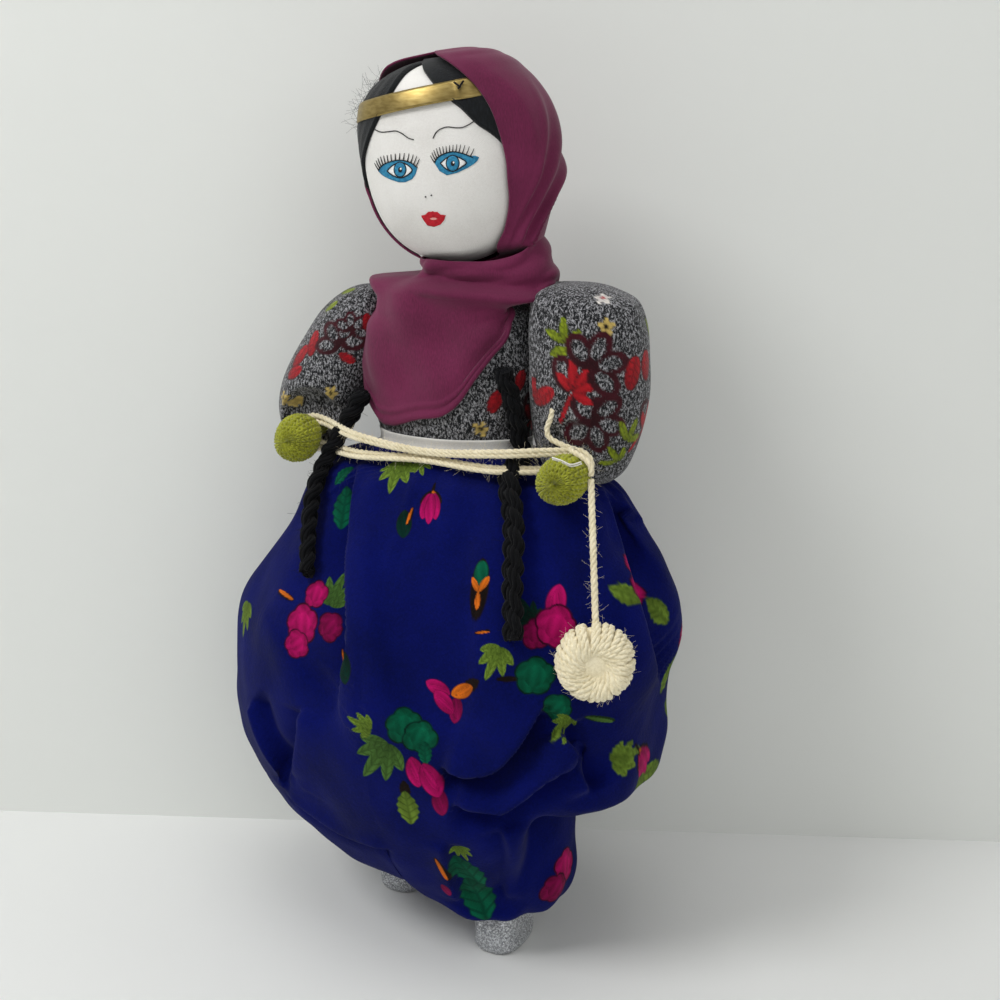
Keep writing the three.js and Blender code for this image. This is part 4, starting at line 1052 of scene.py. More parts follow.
# Each row: height, half width, how far the half ring has closed round the leg, the leg ring's radius.
RIGHT_ROWS = [(230.4, 37, 0, 20), (229.8, 39, 0, 20), (227.5, 46.5, 0, 20), (223.5, 58, 0, 20),
              (219, 69, 0, 20), (213, 72.5, 0, 20), (203, 76, 0, 30), (190, 81, 0, 34), (175, 92, 0, 34),
              (159, 104.5, 0, 38), (147, 110, 0, 38), (132, 112.5, 0, 38), (116, 113.5, 0, 38),
              (101, 113.5, 0, 38), (85, 110.5, 0, 38), (71, 104, 0, 38), (59, 94.5, 0, 38),
              (52.5, 85.5, 0, 38), (45.5, 74, 0.02, 40), (39.5, 61.5, 0.08, 40), (34.5, 51, 0.22, 36),
              (30.5, 44, 0.5, 28), (27.5, 38, 0.8, 20), (25.5, 34, 1, 14.5)]
LEFT_TOP = [(230.4, 35, 0, 20), (229.8, 36.6, 0, 20), (227.5, 46, 0, 20), (223.5, 59.5, 0, 20),
            (219, 72, 0, 20), (213, 79, 0, 20), (203, 86.5, 0, 30), (190, 95, 0, 34), (175, 102.5, 0, 34),
            (163, 105.5, 0, 36), (147, 104.5, 0, 36), (132, 100, 0, 36), (118, 99, 0, 36),
            (104, 99, 0, 36), (90, 96.5, 0, 36)]
LEFT_FRONT = [(78, 93, 0, 40), (66, 87, 0, 40), (55, 78, 0, 40), (46, 70, 0.05, 40), (38, 61, 0.15, 38),
              (31, 51, 0.4, 36), (26, 43, 0.75, 30.5), (22.5, 38, 0.95, 23), (21, 34, 1, 16)]
LEFT_SIDE = [(86.5, 93, 0, 37), (84, 88, 0.03, 37), (84, 80, 0.12, 37), (86, 71, 0.35, 37),
             (86.5, 64, 0.68, 35.5), (82, 60, 0.92, 34.5), (69, 56, 1, 32.5), (52, 54, 1, 31),
             (40, 50, 1, 30), (31, 46, 1, 27), (25, 44, 1, 22), (21.5, 42, 1, 16)]


def leg_line(side, height):
    share = np.clip((HIP_Z - height) / (HIP_Z - ANKLE_Z), 0, 1)
    return mix(18.0, 35.5, share), mix(BODY_Y, 1 - side * 13.0, share)


def trouser_rows(side, rows):
    tables = columns(rows)
    fine = np.linspace(0, len(rows) - 1, 800)
    high, wide, morph, ring = (glide(t, fine) for t in tables)
    out = mix(wide, leg_line(side, high)[0] + ring, np.clip(morph, 0, 1))
    gone = even_steps(out, high)

    def place(u, v):
        row = np.interp(v, gone, fine)
        height, wide, morph, ring = (glide(t, row) for t in tables)
        morph = np.clip(morph, 0, 1)
        deep = glide(FRONT_DEPTH, height)
        share = (WAIST_Z - height) / 180.0
        alpha = math.pi * np.clip(u / OUTSIDE, 0, 1)
        inner = np.clip((u - OUTSIDE) / (1 - OUTSIDE), 0, 1)
        open_share = ease(0, 0.25, share) * ease(1.15, 0.7, share)
        swell = 1 + open_share * (0.012 * np.cos(alpha * 10) + 0.01 * np.cos(alpha * 6))
        gather = 0.036 * np.exp(-share / 0.09) * ease(0, 0.03, share)
        swell = swell + gather * np.cos(alpha * 22 + np.sin(alpha * 3))
        middle = mix(BODY_Y, 0.5, ease(0, 0.35, share))
        x = wide * swell * np.sin(alpha)
        y = middle - deep * swell * np.cos(alpha)
        inside = u > OUTSIDE
        x = np.where(inside, 0.3 * np.sin(inner * math.pi), x)
        y = np.where(inside, middle + deep * mix(1, -1, inner), y)
        beta = np.radians(np.where(inside, mix(215, 325, inner), mix(-35, 215, u / OUTSIDE)))
        leg_x, leg_y = leg_line(side, height)
        pleat = 1 + 0.035 * np.cos(beta * 9 + 1) * ease(60, 30, height) + 0.015 * np.cos(beta * 4 + side)
        x = side * mix(x, leg_x + ring * pleat * np.sin(beta), morph)
        y = mix(y, leg_y - ring * pleat * np.cos(beta), morph)
        return np.stack([x, y, height], 1)

    return place


def left_place(u, v):
    front, side = trouser_rows(1, LEFT_TOP + LEFT_FRONT), trouser_rows(1, LEFT_TOP + LEFT_SIDE)
    turn = 180 * u / OUTSIDE
    flap = ease(38, 60, turn) * ease(172, 150, turn)
    return mix(front(u, v), side(u, v), flap[:, None]) * MM


def right_place(u, v):
    return trouser_rows(-1, RIGHT_ROWS)(u, v) * MM


trousers = [
    grid_piece("trousers_left", 290, 220, left_place, (0.04, 0, 0.12)),
    grid_piece("trousers_right", 290, 220, right_place, (-0.04, 0, 0.12)),
]
for half in trousers:
    bumps = 1.2 * ripple(points_of(half), 0.06, 1.0) + 0.5 * ripple(points_of(half), 0.022, 4.0)
    calm = ease(0.231, 0.21, points_of(half)[:, 2]) * ease(0.0, 0.004, np.abs(points_of(half)[:, 0]))
    push_out(half, bumps * calm)
    print(half.name, len(half.data.vertices), "points")

# %% Folds in the trousers
TRACK_POINTS, FOLD_REACH = 60, 0.06


def seam_free(spots, shift):
    """Keeps the two halves together: cloth beside the middle seam doesn't move sideways."""
    return shift * np.stack([ease(0.0, 0.006, np.abs(spots[:, 0])), *[np.ones(len(spots))] * 2], 1)


def crease(pieces, line, lift, lift_wide, drop, drop_wide, sharp=1.2):
    """Lifts the cloth on the left of a line that runs down the picture, and lowers it on the right."""
    tree = tree_of(*pieces)
    track = [cast(tree, x, y)[0] for x, y in along(line, np.linspace(0, 1, TRACK_POINTS))]
    track = np.array([spot for spot in track if spot is not None])
    ahead = np.gradient(track, axis=0)
    ahead /= np.linalg.norm(ahead, axis=1)[:, None]
    last = len(track) - 1
    for piece in pieces:
        co, normal = points_of(piece), normals_of(piece)
        near = np.nonzero(np.linalg.norm(co[:, None] - track[None, ::6], axis=2).min(1) < FOLD_REACH)[0]
        away = co[near][:, None] - track[None]
        far = np.linalg.norm(away, axis=2)
        best = far.argmin(1)
        d = far.min(1) / MM
        rel = away[np.arange(len(near)), best]
        side = np.einsum("ij,ij->i", np.cross(ahead[best], BACK), rel)
        left = 0.5 * (1 + np.tanh(side / MM / sharp))
        end = ease(0, 0.14, best / last) * ease(1, 0.86, best / last)
        move = left * lift * bell(d, lift_wide) - (1 - left) * drop * bell(d, drop_wide)
        facing = ease(-0.3, 0.2, normal[near] @ BACK)
        co[near] += seam_free(co[near], normal[near] * (move * end * facing * MM)[:, None])
        set_points(piece, co)


def hollow(pieces, x, y, wide, deep):
    """Presses a soft dent into the cloth where a sight line meets it."""
    spot = np.array(cast(tree_of(*pieces), x, y)[0])
    for piece in pieces:
        co = points_of(piece)
        away = np.linalg.norm(co - spot, axis=1) / MM
        dent = normals_of(piece) * (deep * bell(away, wide) * MM)[:, None]
        set_points(piece, co - seam_free(co, dent))


# Each dent: its place in the picture, then how wide and how deep it is in millimetres.
HOLLOWS = [(312, 683, 14, 7.0), (332, 706, 9, 4.0), (626, 540, 14, 5.0), (604, 768, 9, 3.0),
           (520, 700, 14, 2.5)]
# Each fold: its line in the picture, the lift on its left and that lift's width, the drop on its right
# and that drop's width, all in millimetres, and how sharp the step is.
FOLDS = [
    ([(357, 458), (352, 520), (350, 580), (350, 640), (340, 705)], -7.5, 12, -4.0, 24, 0.6),
    ([(606, 486), (622, 545), (645, 622), (662, 686)], 3.0, 26, 13.0, 17, 0.8),
    ([(438, 767), (468, 775), (498, 770), (522, 742), (548, 700)], -11.0, 9, -5.5, 18, 0.7),
    ([(448, 805), (480, 811), (507, 811), (542, 784), (586, 746)], -10.0, 9, -5.0, 12, 0.7),
    ([(560, 728), (576, 755), (591, 794)], 5.0, 10, 7.0, 9, 0.8),
    ([(252, 698), (266, 741), (292, 792)], 3.5, 8, 6.5, 12, 0.7),
    ([(303, 706), (297, 750), (290, 790)], -4.5, 10, -4.0, 14, 0.8),
    ([(284, 792), (318, 818), (352, 838), (395, 852)], -3.0, 7, -2.5, 7, 0.7),
    ([(262, 600), (285, 640), (320, 690), (380, 740)], 2.5, 14, -1.5, 12, 1.4),
    ([(372, 520), (376, 600), (392, 690), (420, 748)], 1.8, 20, 1.4, 22, 3.0),
    ([(470, 520), (474, 600), (470, 690), (455, 745)], -1.6, 24, -1.6, 24, 3.0),
    ([(500, 826), (508, 860), (504, 900)], -3.0, 8, -2.5, 10, 1.0),
    ([(446, 842), (452, 872), (462, 902)], 2.5, 8, 2.5, 8, 1.0),
]
for dent in HOLLOWS:
    hollow(trousers, *dent)
for fold in FOLDS:
    crease(trousers, *fold)
print("folds pressed")

# %% Flowers on the trousers


def refine(piece, spots, cuts=2):
    bm = bmesh.new()
    bm.from_mesh(piece.data)
    bm.faces.ensure_lookup_table()
    keep = set()
    for face in bm.faces:
        middle = face.calc_center_median()
        if any((middle - spot).length < reach for spot, reach in spots):
            keep.update(face.edges)
    bmesh.ops.subdivide_edges(bm, edges=list(keep), cuts=cuts, use_grid_fill=True)
    bmesh.ops.triangulate(bm, faces=[f for f in bm.faces if len(f.verts) > 4])
    bm.to_mesh(piece.data)
    bm.free()
    piece.data.shade_smooth()


PINK, DIM, GREEN = (ROSE, ROSE_DARK), (ROSE_MID, ROSE_DARK), (DEEP, DEEP_DARK)
DUSK, RUST, BARK, GRASS = (DEEP_DARK, BROWN), (ORANGE, BROWN), (BROWN, BROWN), (MOSS, MOSS_DARK)
# Each flower: motif, place in the picture, size there, turn in degrees, and its two tints.
FRONT_FLOWERS = [
    (ragged, 396, 474, 23, 190), (ragged, 421, 466, 13, 150), (leaf, 343, 475, 13, 215, *GREEN),
    (leaf, 344, 508, 23, 182, *GREEN), (flame, 404, 524, 15, 180, *DUSK), (stem, 410, 516, 10, 195, *RUST),
    (bud, 431, 504, 20, 178), (stem, 285, 595, 15, 287, *RUST), (ragged, 336, 591, 21, 20, *GRASS),
    (blossom, 316, 594, 15, 10, *PINK), (blossom, 330, 627, 15, 40, *DIM), (blossom, 302, 624, 21, 0, *PINK),
    (blossom, 297, 644, 15, 60, *PINK), (ragged, 245, 617, 20, 190), (flame, 344, 668, 17, 182, *DUSK),
    (stem, 343, 655, 7, 180, *RUST), (thistle, 479, 586, 24, 0), (stem, 482, 632, 9, 80, *RUST),
    (flame, 511, 562, 9, 190, *RUST), (ragged, 494, 661, 21, 205), (stem, 509, 679, 13, 90, *BARK),
    (ragged, 528, 612, 16, 330, *DUSK), (blossom, 536, 634, 16, 0, *DIM), (flame, 556, 602, 19, 12, *PINK),
    (blossom, 556, 627, 22, 20, *PINK), (blossom, 535, 676, 21, 10, *GREEN),
    (blossom, 557, 709, 16, 40, *GREEN),
    (ragged, 563, 725, 15, 230), (stem, 600, 719, 17, 100, *GRASS), (leaf, 470, 686, 13, 60, *BARK),
    (flame, 456, 710, 14, 190, *DIM), (flame, 438, 688, 14, 300, *PINK), (flame, 444, 702, 15, 325, *PINK),
    (flame, 463, 691, 14, 250, *RUST), (blossom, 404, 726, 19, 0, *GREEN),
    (blossom, 420, 737, 18, 30, *GREEN),
    (leaf, 425, 753, 13, 180, *GREEN), (ragged, 378, 757, 30, 222, *GRASS), (ragged, 361, 724, 16, 290),
    (flame, 440, 803, 15, 175, *DIM), (flame, 415, 772, 17, 172, *PINK), (flame, 431, 781, 20, 160, *PINK),
    (leaf, 405, 790, 11, 180, *BARK), (leaf, 408, 808, 21, 180), (ragged, 462, 852, 13, 170),
    (leaf, 468, 872, 28, 165, *GREEN), (leaf, 478, 896, 30, 165, *GREEN), (stem, 442, 870, 19, 175, *RUST),
    (flame, 446, 890, 9, 175, *DIM), (blossom, 566, 866, 19, 0, *PINK), (blossom, 556, 889, 17, 30, *DIM),
]
BACK_RINGS = ((178, 84), (142, 100), (108, 78), (84, 95))
BACK_FLOWERS = []
for ring, (height, start) in enumerate(BACK_RINGS):
    for k in range(5):
        at = start + 40 * k + 9 * math.sin(3.7 * k + ring)
        high = height + 6 * math.sin(5.1 * k + 2 * ring)
        BACK_FLOWERS.append((at, high, 11 + 2 * math.sin(k + ring), 50 * k + 70 * ring, (k + ring) % 3))


def bouquet(p, tree, at, high, size, turn, kind):
    side = 8 if kind != 1 else -8
    print_round(p, tree, leaf, at + side, high - size * 0.9, size * 0.8, turn + 140)
    print_round(p, tree, ragged if kind else leaf, at - side, high + size * 0.5, size * 0.75, turn - 60)
    print_round(p, tree, bud if kind == 2 else rose, at, high, size * 0.9, turn)


def print_trousers():
    tree = tree_of(*trousers)
    spots = []
    for flower in FRONT_FLOWERS:
        spot, _, far = cast(tree, flower[1], flower[2])
        if spot is not None:
            spots.append((spot, flower[3] * far / FOCAL * 1.25))
    for half in trousers:
        refine(half, spots)
        p = Print(half)
        for motif, x, y, size, turn, *tints in FRONT_FLOWERS:
            print_at(p, tree, lambda q, s, t: motif(q, s, t, *tints), x, y, size, turn)
        for flower in BACK_FLOWERS:
            bouquet(p, tree, *flower)
        p.keep()


print_trousers()
for half, side, leg in zip(trousers, (1, -1), ("left", "right")):
    nodes = [f"trouser_leg_{leg}", f"leg_{leg}"] + (["trousers_bag"] if side > 0 else [])
    dress(half, None, "trouser_wool", TROUSER_WOOL, *nodes)
    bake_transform(half)

# %% [markdown]
# ## Blouse and sleeves
# The blouse is grey knit with red flowers. Its sleeves are stuffed puffs, gathered at the shoulder and
# drawn in round the wrist, flat only where they lie against the body.

# %% Sleeves
ARM_X = 36.9
WRIST = np.array([65.0, -10.5, 235.0])
# Each row: height, half width, and the place of its middle across and in depth.
SLEEVE_ROWS = {
    -1: [(299.5, 0, 46, 9), (298.5, 7, 46.5, 8.5), (295, 13, 48.5, 7.5), (287, 19.3, 52, 7),
         (274, 22.7, 57, 5), (260, 22.5, 65, 1.5), (250, 22, 69, 0), (240, 20, 71.5, -1.5),
         (232, 16, 72, -2.5), (226.5, 10, 71, -3), (224, 0, 70, -3)],
    1: [(304.8, 0, 52, 10), (304.3, 11, 53, 10), (302, 19, 54.5, 10), (297.5, 24.5, 57, 10),
        (287, 27, 58.8, 10), (273, 27.2, 60, 10), (260, 27.2, 60.4, 10), (248, 25.5, 60.5, 9.5),
        (236, 22.5, 60.3, 9), (227, 18.5, 60.5, 8.5), (222, 13.5, 60.5, 8), (219.8, 7.5, 61, 8),
        (219.3, 0, 61, 8)],
}


def sleeve_place(side):
    rows = SLEEVE_ROWS[side]
    tables = columns(rows)
    fine = np.linspace(0, len(rows) - 1, 500)
    gone = even_steps(glide(tables[0], fine), glide(tables[1], fine))

    def place(u, v):
        angle = 2 * math.pi * u
        row = np.interp(v, gone, fine)
        height, wide, x0, y0 = (glide(t, row) for t in tables)
        wide = np.maximum(wide, 0)
        top, cuff = ease(0.4, 0.1, v), ease(0.6, 0.9, v)
        gather = 1 + 0.025 * np.cos(angle * 13) * top + 0.012 * np.cos(angle * 9) * cuff
        x = x0 + wide * gather * np.sin(angle)
        y = y0 - 0.87 * wide * gather * np.cos(angle)
        flat = ARM_X + 0.3
        x = np.where(x < flat + 6, flat + 6 * np.exp(np.clip((x - flat - 6) / 6, -6, 0)), x)
        d = np.hypot(x - WRIST[0], height - WRIST[2])
        y = np.maximum(y, -10.3 - 15 * ease(13, 25, d))
        around = np.arctan2(height - WRIST[2], x - WRIST[0])
        front = ease(y0, y0 - 6, y)
        y = y - (0.9 * np.cos(around * 9) * bell(d - 16, 6) - 1.2 * bell(d, 7)) * front
        return np.stack([side * x, y, height], 1) * MM

    return place


sleeves = [grid_piece(f"sleeve_{name}_puff", 190, 130, sleeve_place(side), (side * 0.06, 0.006, 0.26))
           for name, side in (("left", 1), ("right", -1))]
for sleeve in sleeves:
    push_out(sleeve, 0.4 * ripple(points_of(sleeve), 0.03, 7.0))

# %% Bodice
BODICE_FOOT, BODICE_NECK, BODICE_TOP, NECK_SHARE = 226.0, 296.0, 298.4, 0.9


def bodice_place(u, v):
    angle = 2 * math.pi * u
    side = mix(BODICE_FOOT, BODICE_NECK, v / NECK_SHARE)
    neck = mix(BODICE_NECK, BODICE_TOP, (v - NECK_SHARE) / (1 - NECK_SHARE))
    height = np.where(v < NECK_SHARE, side, neck)
    pull = 0.35 * np.cos(angle * 16) * ease(250, 238, height)
    x, y = body_spot(angle, height, 1.5 + pull)
    return np.stack([x, y, height], 1) * MM


bodice = grid_piece("bodice_knit", 170, 90, bodice_place, (0, 0.005, 0.26))

# %% Flowers on the blouse
SPRING = (LIME, LIME_DARK)
BLOUSE_FLOWERS = [
    (white_star, 603, 298, 10, 0), (star, 606, 327, 10, 0), (lime_sprig, 562, 333, 21, -15),
    (leaf, 559, 352, 12, 80, *SPRING), (red_bloom, 572, 392, 32, 30), (loops, 590, 368, 30, 40),
    (loops, 592, 420, 28, 120), (red_petal, 543, 396, 17, 72), (red_petal, 520, 381, 12, 10),
    (red_petal, 495, 402, 13, 20), (red_petal, 633, 373, 18, 8), (red_petal, 646, 365, 16, -10),
    (lime_sprig, 630, 432, 20, 0), (lime_sprig, 614, 458, 17, -60), (star, 481, 429, 9, 20),
    (leaf, 348, 291, 9, 70, *SPRING), (leaf, 331, 306, 10, 55, *SPRING), (red_petal, 313, 343, 14, 8),
    (red_petal, 300, 356, 14, 42), (red_petal, 294, 372, 12, 72), (loops, 340, 345, 22, -20),
    (loops, 351, 330, 15, 10), (red_petal, 347, 358, 9, 120), (red_petal, 367, 322, 9, 0),
    (star, 331, 393, 8, 30), (star, 283, 398, 8, 0),
]
# On the back: motif, compass turn round the arm, height, size in millimetres, turn in degrees.
SLEEVE_BACKS = [
    (red_bloom, 150, 272, 12, 0), (lime_sprig, 110, 285, 8, 30), (star, 200, 290, 4, 0),
    (lime_sprig, 215, 262, 8, -40), (red_bloom, 90, 245, 11, 40), (loops, 180, 240, 9, 90),
    (red_petal, 235, 238, 6, 20), (white_star, 120, 232, 4, 0), (red_petal, 260, 268, 6, -30),
]


def print_blouse():
    blouse = [*sleeves, bodice]
    tree = tree_of(*blouse)
    for piece, axis, mirror in zip(blouse, ((62, 12), (-62, 12), (0, 5)), (1, -1, 1)):
        p = Print(piece)
        own = tree_of(piece)
        for motif, at, high, size, turn in SLEEVE_BACKS:
            print_round(p, own, motif, at * mirror, high, size, turn * mirror, axis)
        for motif, x, y, size, turn, *tints in BLOUSE_FLOWERS:
            print_at(p, tree, lambda q, s, t: motif(q, s, t, *tints), x, y, size, turn)
        p.keep()


print_blouse()
for sleeve, name in zip(sleeves, ("left", "right")):
    dress(sleeve, f"{name}_arm", "blouse_cloth", BLOUSE_MARL, f"sleeve_{name}", f"arm_{name}")
dress(bodice, "torso", "blouse_cloth", BLOUSE_MARL, "bodice", "trunk")

# %% [markdown]
# ## Waist tape
# A white cotton tape ties the blouse in at the waist. It is a short band that stands a little
# off the blouse.

# %% Waist tape
TAPE_LOW, TAPE_HIGH = 230.6, 237.4


def tape_place(u, v):
    angle = 2 * math.pi * u
    height = mix(TAPE_LOW, TAPE_HIGH, v) + 0.5 * np.sin(angle * 2)
    curl = 0.25 * np.cos(v * 2 * math.pi) + 0.2 * np.sin(angle * 5)
    x, y = body_spot(angle, np.full_like(height, TAPE_LOW), 2.9 + curl)
    return np.stack([x, y, height], 1) * MM


tape = thicken(grid_piece("tape_band", 120, 10, tape_place, (0, 0.005, 0.234)), 0.5 * MM)
dress(tape, "torso", "white_tape", TAPE_COTTON, "waist_tape")

# %% [markdown]
# ## Knitted hands
# The hands are small stuffed balls knitted in thick wool. The stitches stand out by about a
# millimetre, so they are part of the shape: rows of slanted loops in columns round the ball.

# %% Hands
HANDS = {1: np.array([68.0, -28.2, 229.4]), -1: np.array([65.0, -27.9, 232.8])}
HAND_SIZE = np.array([10.7, 9.8, 9.5])
HAND_LEAN = {1: 35, -1: 160}
STITCHES, COURSES = 20, 14
WRIST_FRONT, WRIST_BACK, WRIST_HALF = -21.5, -6.0, 3.1


def hand_place(side):
    def place(u, v):
        around = 2 * math.pi * u
        tip = math.pi * mix(0.02, 1.0, v)
        ring = np.sin(tip)
        stitch = (u * STITCHES) % 1.0
        slant = np.abs(stitch - 0.5) * 2
        loop = np.abs(np.sin(math.pi * (v * COURSES + slant * 0.75)))
        groove = bell(slant - 1, 0.22) + 0.5 * bell(slant, 0.2)
        rise = (1.0 * loop ** 0.8 - 0.8 * groove) * ease(0, 0.25, ring)
        local = np.stack([ring * np.sin(around), np.cos(tip), ring * np.cos(around)], 1)
        lean = np.radians(HAND_LEAN[side])
        size = HAND_SIZE * (1 + 0.09 * np.cos(2 * (around - lean)))[:, None]
        spot = local * (size + rise[:, None]) + HANDS[side]
        return spot * np.array([side, 1, 1]) * MM

    return place


def wrist_place(side):
    def place(u, v):
        around = 2 * math.pi * u
        y = mix(WRIST_FRONT, WRIST_BACK, v)
        rib = WRIST_HALF + 0.3 * np.cos(around * 10)
        rib = rib + 2.0 * ease(-19, WRIST_FRONT, y) + 2.5 * ease(-10, WRIST_BACK, y)
        x = mix(HANDS[side][0], WRIST[0], v) + rib * np.sin(around)
        z = mix(HANDS[side][2], WRIST[2], v) + rib * np.cos(around)
        return np.stack([side * x, y, z], 1) * MM

    return place


for name, side in (("left", 1), ("right", -1)):
    ball = grid_piece(f"hand_{name}_knit", 240, 150, hand_place(side), (side * 0.065, -0.0279, 0.232))
    wrist = grid_piece(f"wrist_{name}", 96, 12, wrist_place(side), (side * 0.065, -0.015, 0.234))
    dress(ball, f"{name}_arm", "hand_wool", HAND_WOOL, f"hand_{name}")
    dress(wrist, f"{name}_arm", "hand_wool", HAND_WOOL)

# %% [markdown]
# ## Shoes
# The shoes are small stuffed bags of glitter cloth with a flat sole. A squared ring of rows gives the
# rounded toe and the soft top edge under the trousers.

# %% Shoes
# Each row: height, and its share of the shoe's full width.
SHOE_ROWS = [(0.0, 0.0), (0.0, 0.72), (0.6, 0.9), (2.5, 0.98), (6, 1.0), (13, 0.985), (18, 0.93),
             (22, 0.8), (24.3, 0.62), (24.6, 0.0)]
SHOES = {1: (31.8, -12.0), -1: (-36.5, 14.0)}
SHOE_HALF, SHOE_TOE, SHOE_HEEL, SHOE_MIDDLE = 11.4, 15.5, 12.5, 12
SHOE_SQUARE = 2.8


def shoe_place(side):
    def place(u, v):
        around = 2 * math.pi * u
        row = v * (len(SHOE_ROWS) - 1)
        height = np.interp(row, range(len(SHOE_ROWS)), [r[0] for r in SHOE_ROWS])
        size = np.interp(row, range(len(SHOE_ROWS)), [r[1] for r in SHOE_ROWS])
        square = np.abs(np.sin(around)) ** SHOE_SQUARE + np.abs(np.cos(around)) ** SHOE_SQUARE
        square = square ** (-1 / SHOE_SQUARE)
        dent = 1 + 0.03 * np.sin(around * 3 + side) * ease(1, 8, height)
        x = SHOES[side][0] + SHOE_HALF * size * square * dent * np.sin(around)
        long = mix(SHOE_TOE, SHOE_HEEL, ease(12, 24, height))
        y = SHOES[side][1] - long * size * square * dent * np.cos(around)
        return np.stack([x, y, height], 1) * MM

    return place


for name, side in (("left", 1), ("right", -1)):
    middle = np.array([*SHOES[side], SHOE_MIDDLE]) * MM
    shoe = grid_piece(f"shoe_{name}_bag", 96, 72, shoe_place(side), middle)
    dress(shoe, f"{name}_leg", "glitter_cloth", SILVER_GLITTER, f"shoe_{name}")

# %% [markdown]
# ## Yarn
# Wool yarn is three plies twisted round each other. Each ply is a thin tube that winds round the
# yarn's own line, so the twist shows in the outline as well as in the shade.

# %% Yarn tool


def smooth_line(points, step):
    points = np.array(points, float)
    full = np.concatenate([[2 * points[0] - points[1]], points, [2 * points[-1] - points[-2]]])
    fine = []
    for i in range(1, len(full) - 2):
        a, b, c, d = full[i - 1:i + 3]
        for t in np.linspace(0, 1, 16, endpoint=False):
            square, cube = (2 * a - 5 * b + 4 * c - d) * t ** 2, (3 * b - a - 3 * c + d) * t ** 3
            fine.append(0.5 * (2 * b + (c - a) * t + square + cube))
    fine = np.array(fine + [points[-1]])
    gone = np.concatenate([[0], np.cumsum(np.linalg.norm(np.diff(fine, axis=0), axis=1))])
    even = np.linspace(0, gone[-1], max(8, int(gone[-1] / step)))
    return np.stack([np.interp(even, gone, fine[:, i]) for i in range(3)], 1), gone[-1]


def side_ways(line):
    """Two directions square to the line that turn as little as they can along it."""
    ahead = np.gradient(line, axis=0)
    ahead /= np.linalg.norm(ahead, axis=1)[:, None]
    first = np.cross(ahead[0], [0.3, 0.2, 0.93])
    ways = [first / np.linalg.norm(first)]
    for t in ahead[1:]:
        way = ways[-1] - t * np.dot(ways[-1], t)
        ways.append(way / np.linalg.norm(way))
    ways = np.array(ways)
    return ways, np.cross(ahead, ways)


def tubes(name, lines, radii):
    curve = bpy.data.curves.new(name, "CURVE")
    curve.dimensions = "3D"
    curve.bevel_depth = 1.0
    curve.bevel_resolution = 1
    curve.use_fill_caps = True
    for line, radius in zip(lines, radii):
        spline = curve.splines.new("POLY")
        spline.points.add(len(line) - 1)
        spline.points.foreach_set("co", np.concatenate([line, np.ones((len(line), 1))], 1).ravel())
        spline.points.foreach_set("radius", np.broadcast_to(radius, len(line)).astype(float))
    holder = bpy.data.objects.new(name + "_line", curve)
    bpy.context.scene.collection.objects.link(holder)
    bpy.context.view_layer.update()
    made = bpy.data.meshes.new_from_object(holder.evaluated_get(bpy.context.evaluated_depsgraph_get()))
    bpy.data.objects.remove(holder)
    piece = bpy.data.objects.new(name, made)
    made.name = name
    bpy.context.scene.collection.objects.link(piece)
    made.shade_smooth()
    return piece


# A ply's distance from the yarn's line, and its own radius, as shares of the yarn's width.
PLY_OUT, PLY_HALF = 0.235, 0.27


def plied(line, width, plies=3, pitch=0.0085):
    a, b = side_ways(line)
    gone = np.concatenate([[0], np.cumsum(np.linalg.norm(np.diff(line, axis=0), axis=1))])
    lines = []
    for k in range(plies):
        turn = gone * 2 * math.pi / pitch + 2 * math.pi * k / plies
        lines.append(line + (a * np.cos(turn)[:, None] + b * np.sin(turn)[:, None]) * width * PLY_OUT)
    return lines, [width * PLY_HALF] * plies


def fuzz(name, line, count, reach, half, seed):
    """Loose fibres that stand off a line of yarn."""
    pick = np.random.default_rng(seed)
    lines = []
    for _ in range(count):
        start = line[pick.integers(len(line))]
        way = pick.normal(size=3)
        way /= np.linalg.norm(way)
        side = np.cross(way, pick.normal(size=3))
        long = reach * (0.4 + 0.8 * pick.random())
        t = np.linspace(0, 1, 5)[:, None]
        lines.append(start + way * long * t + side * long * 0.5 * t * t)
    return tubes(name, lines, [half] * count)


YARN = 2.6 * MM
print("yarn tool ready")

# %% [markdown]
# ## The hank
# One length of yarn is wound round both wrists and drawn in between the hands, and its free end
# stands by the left hand. From there the yarn runs over the hand and down to a small ball.

# %% Hank
LOOP_IN, PITCH, LOOPS, BOW, TAIL = 4.6, 2.65, 3, 12.5, 16.0
LEFT_FLAT = 0.66
PIVOT = np.array([80.0, -26.9, 230.5])
DROOP = [(-65, -2.2), (0, -3.4), (65, -2.0)]


def hank_point(turn, share):
    half = LOOPS / 2
    radius = LOOP_IN + PITCH * abs(turn - half)
    layer = PITCH * float(ease(half - 0.2, half + 0.2, turn))
    if share < 0.25 or 0.5 <= share < 0.75:
        hand = 1 if share < 0.25 else -1
        angle = hand * math.pi / 2 - (share % 0.25) * 4 * math.pi
        x, z = hand * WRIST[0] + radius * math.cos(angle), radius * math.sin(angle)
    else:
        run = -1 if share < 0.5 else 1
        x = -run * WRIST[0] * math.cos((share % 0.25) * 4 * math.pi)
        waist = 1.1 + 0.4 * (radius - LOOP_IN)
        z = run * mix(waist, radius, abs(x) / WRIST[0])
    flat = mix(1.0, LEFT_FLAT, float(ease(0, WRIST[0], x)))
    bow = BOW * (1 - float(ease(WRIST[0] * 0.45, WRIST[0], abs(x))))
    droop = float(glide(DROOP, np.array([np.clip(x, -65, 65)]))[0])
    return np.array([x, WRIST[1] - 1.65 - layer - bow, WRIST[2] + z * flat + droop])


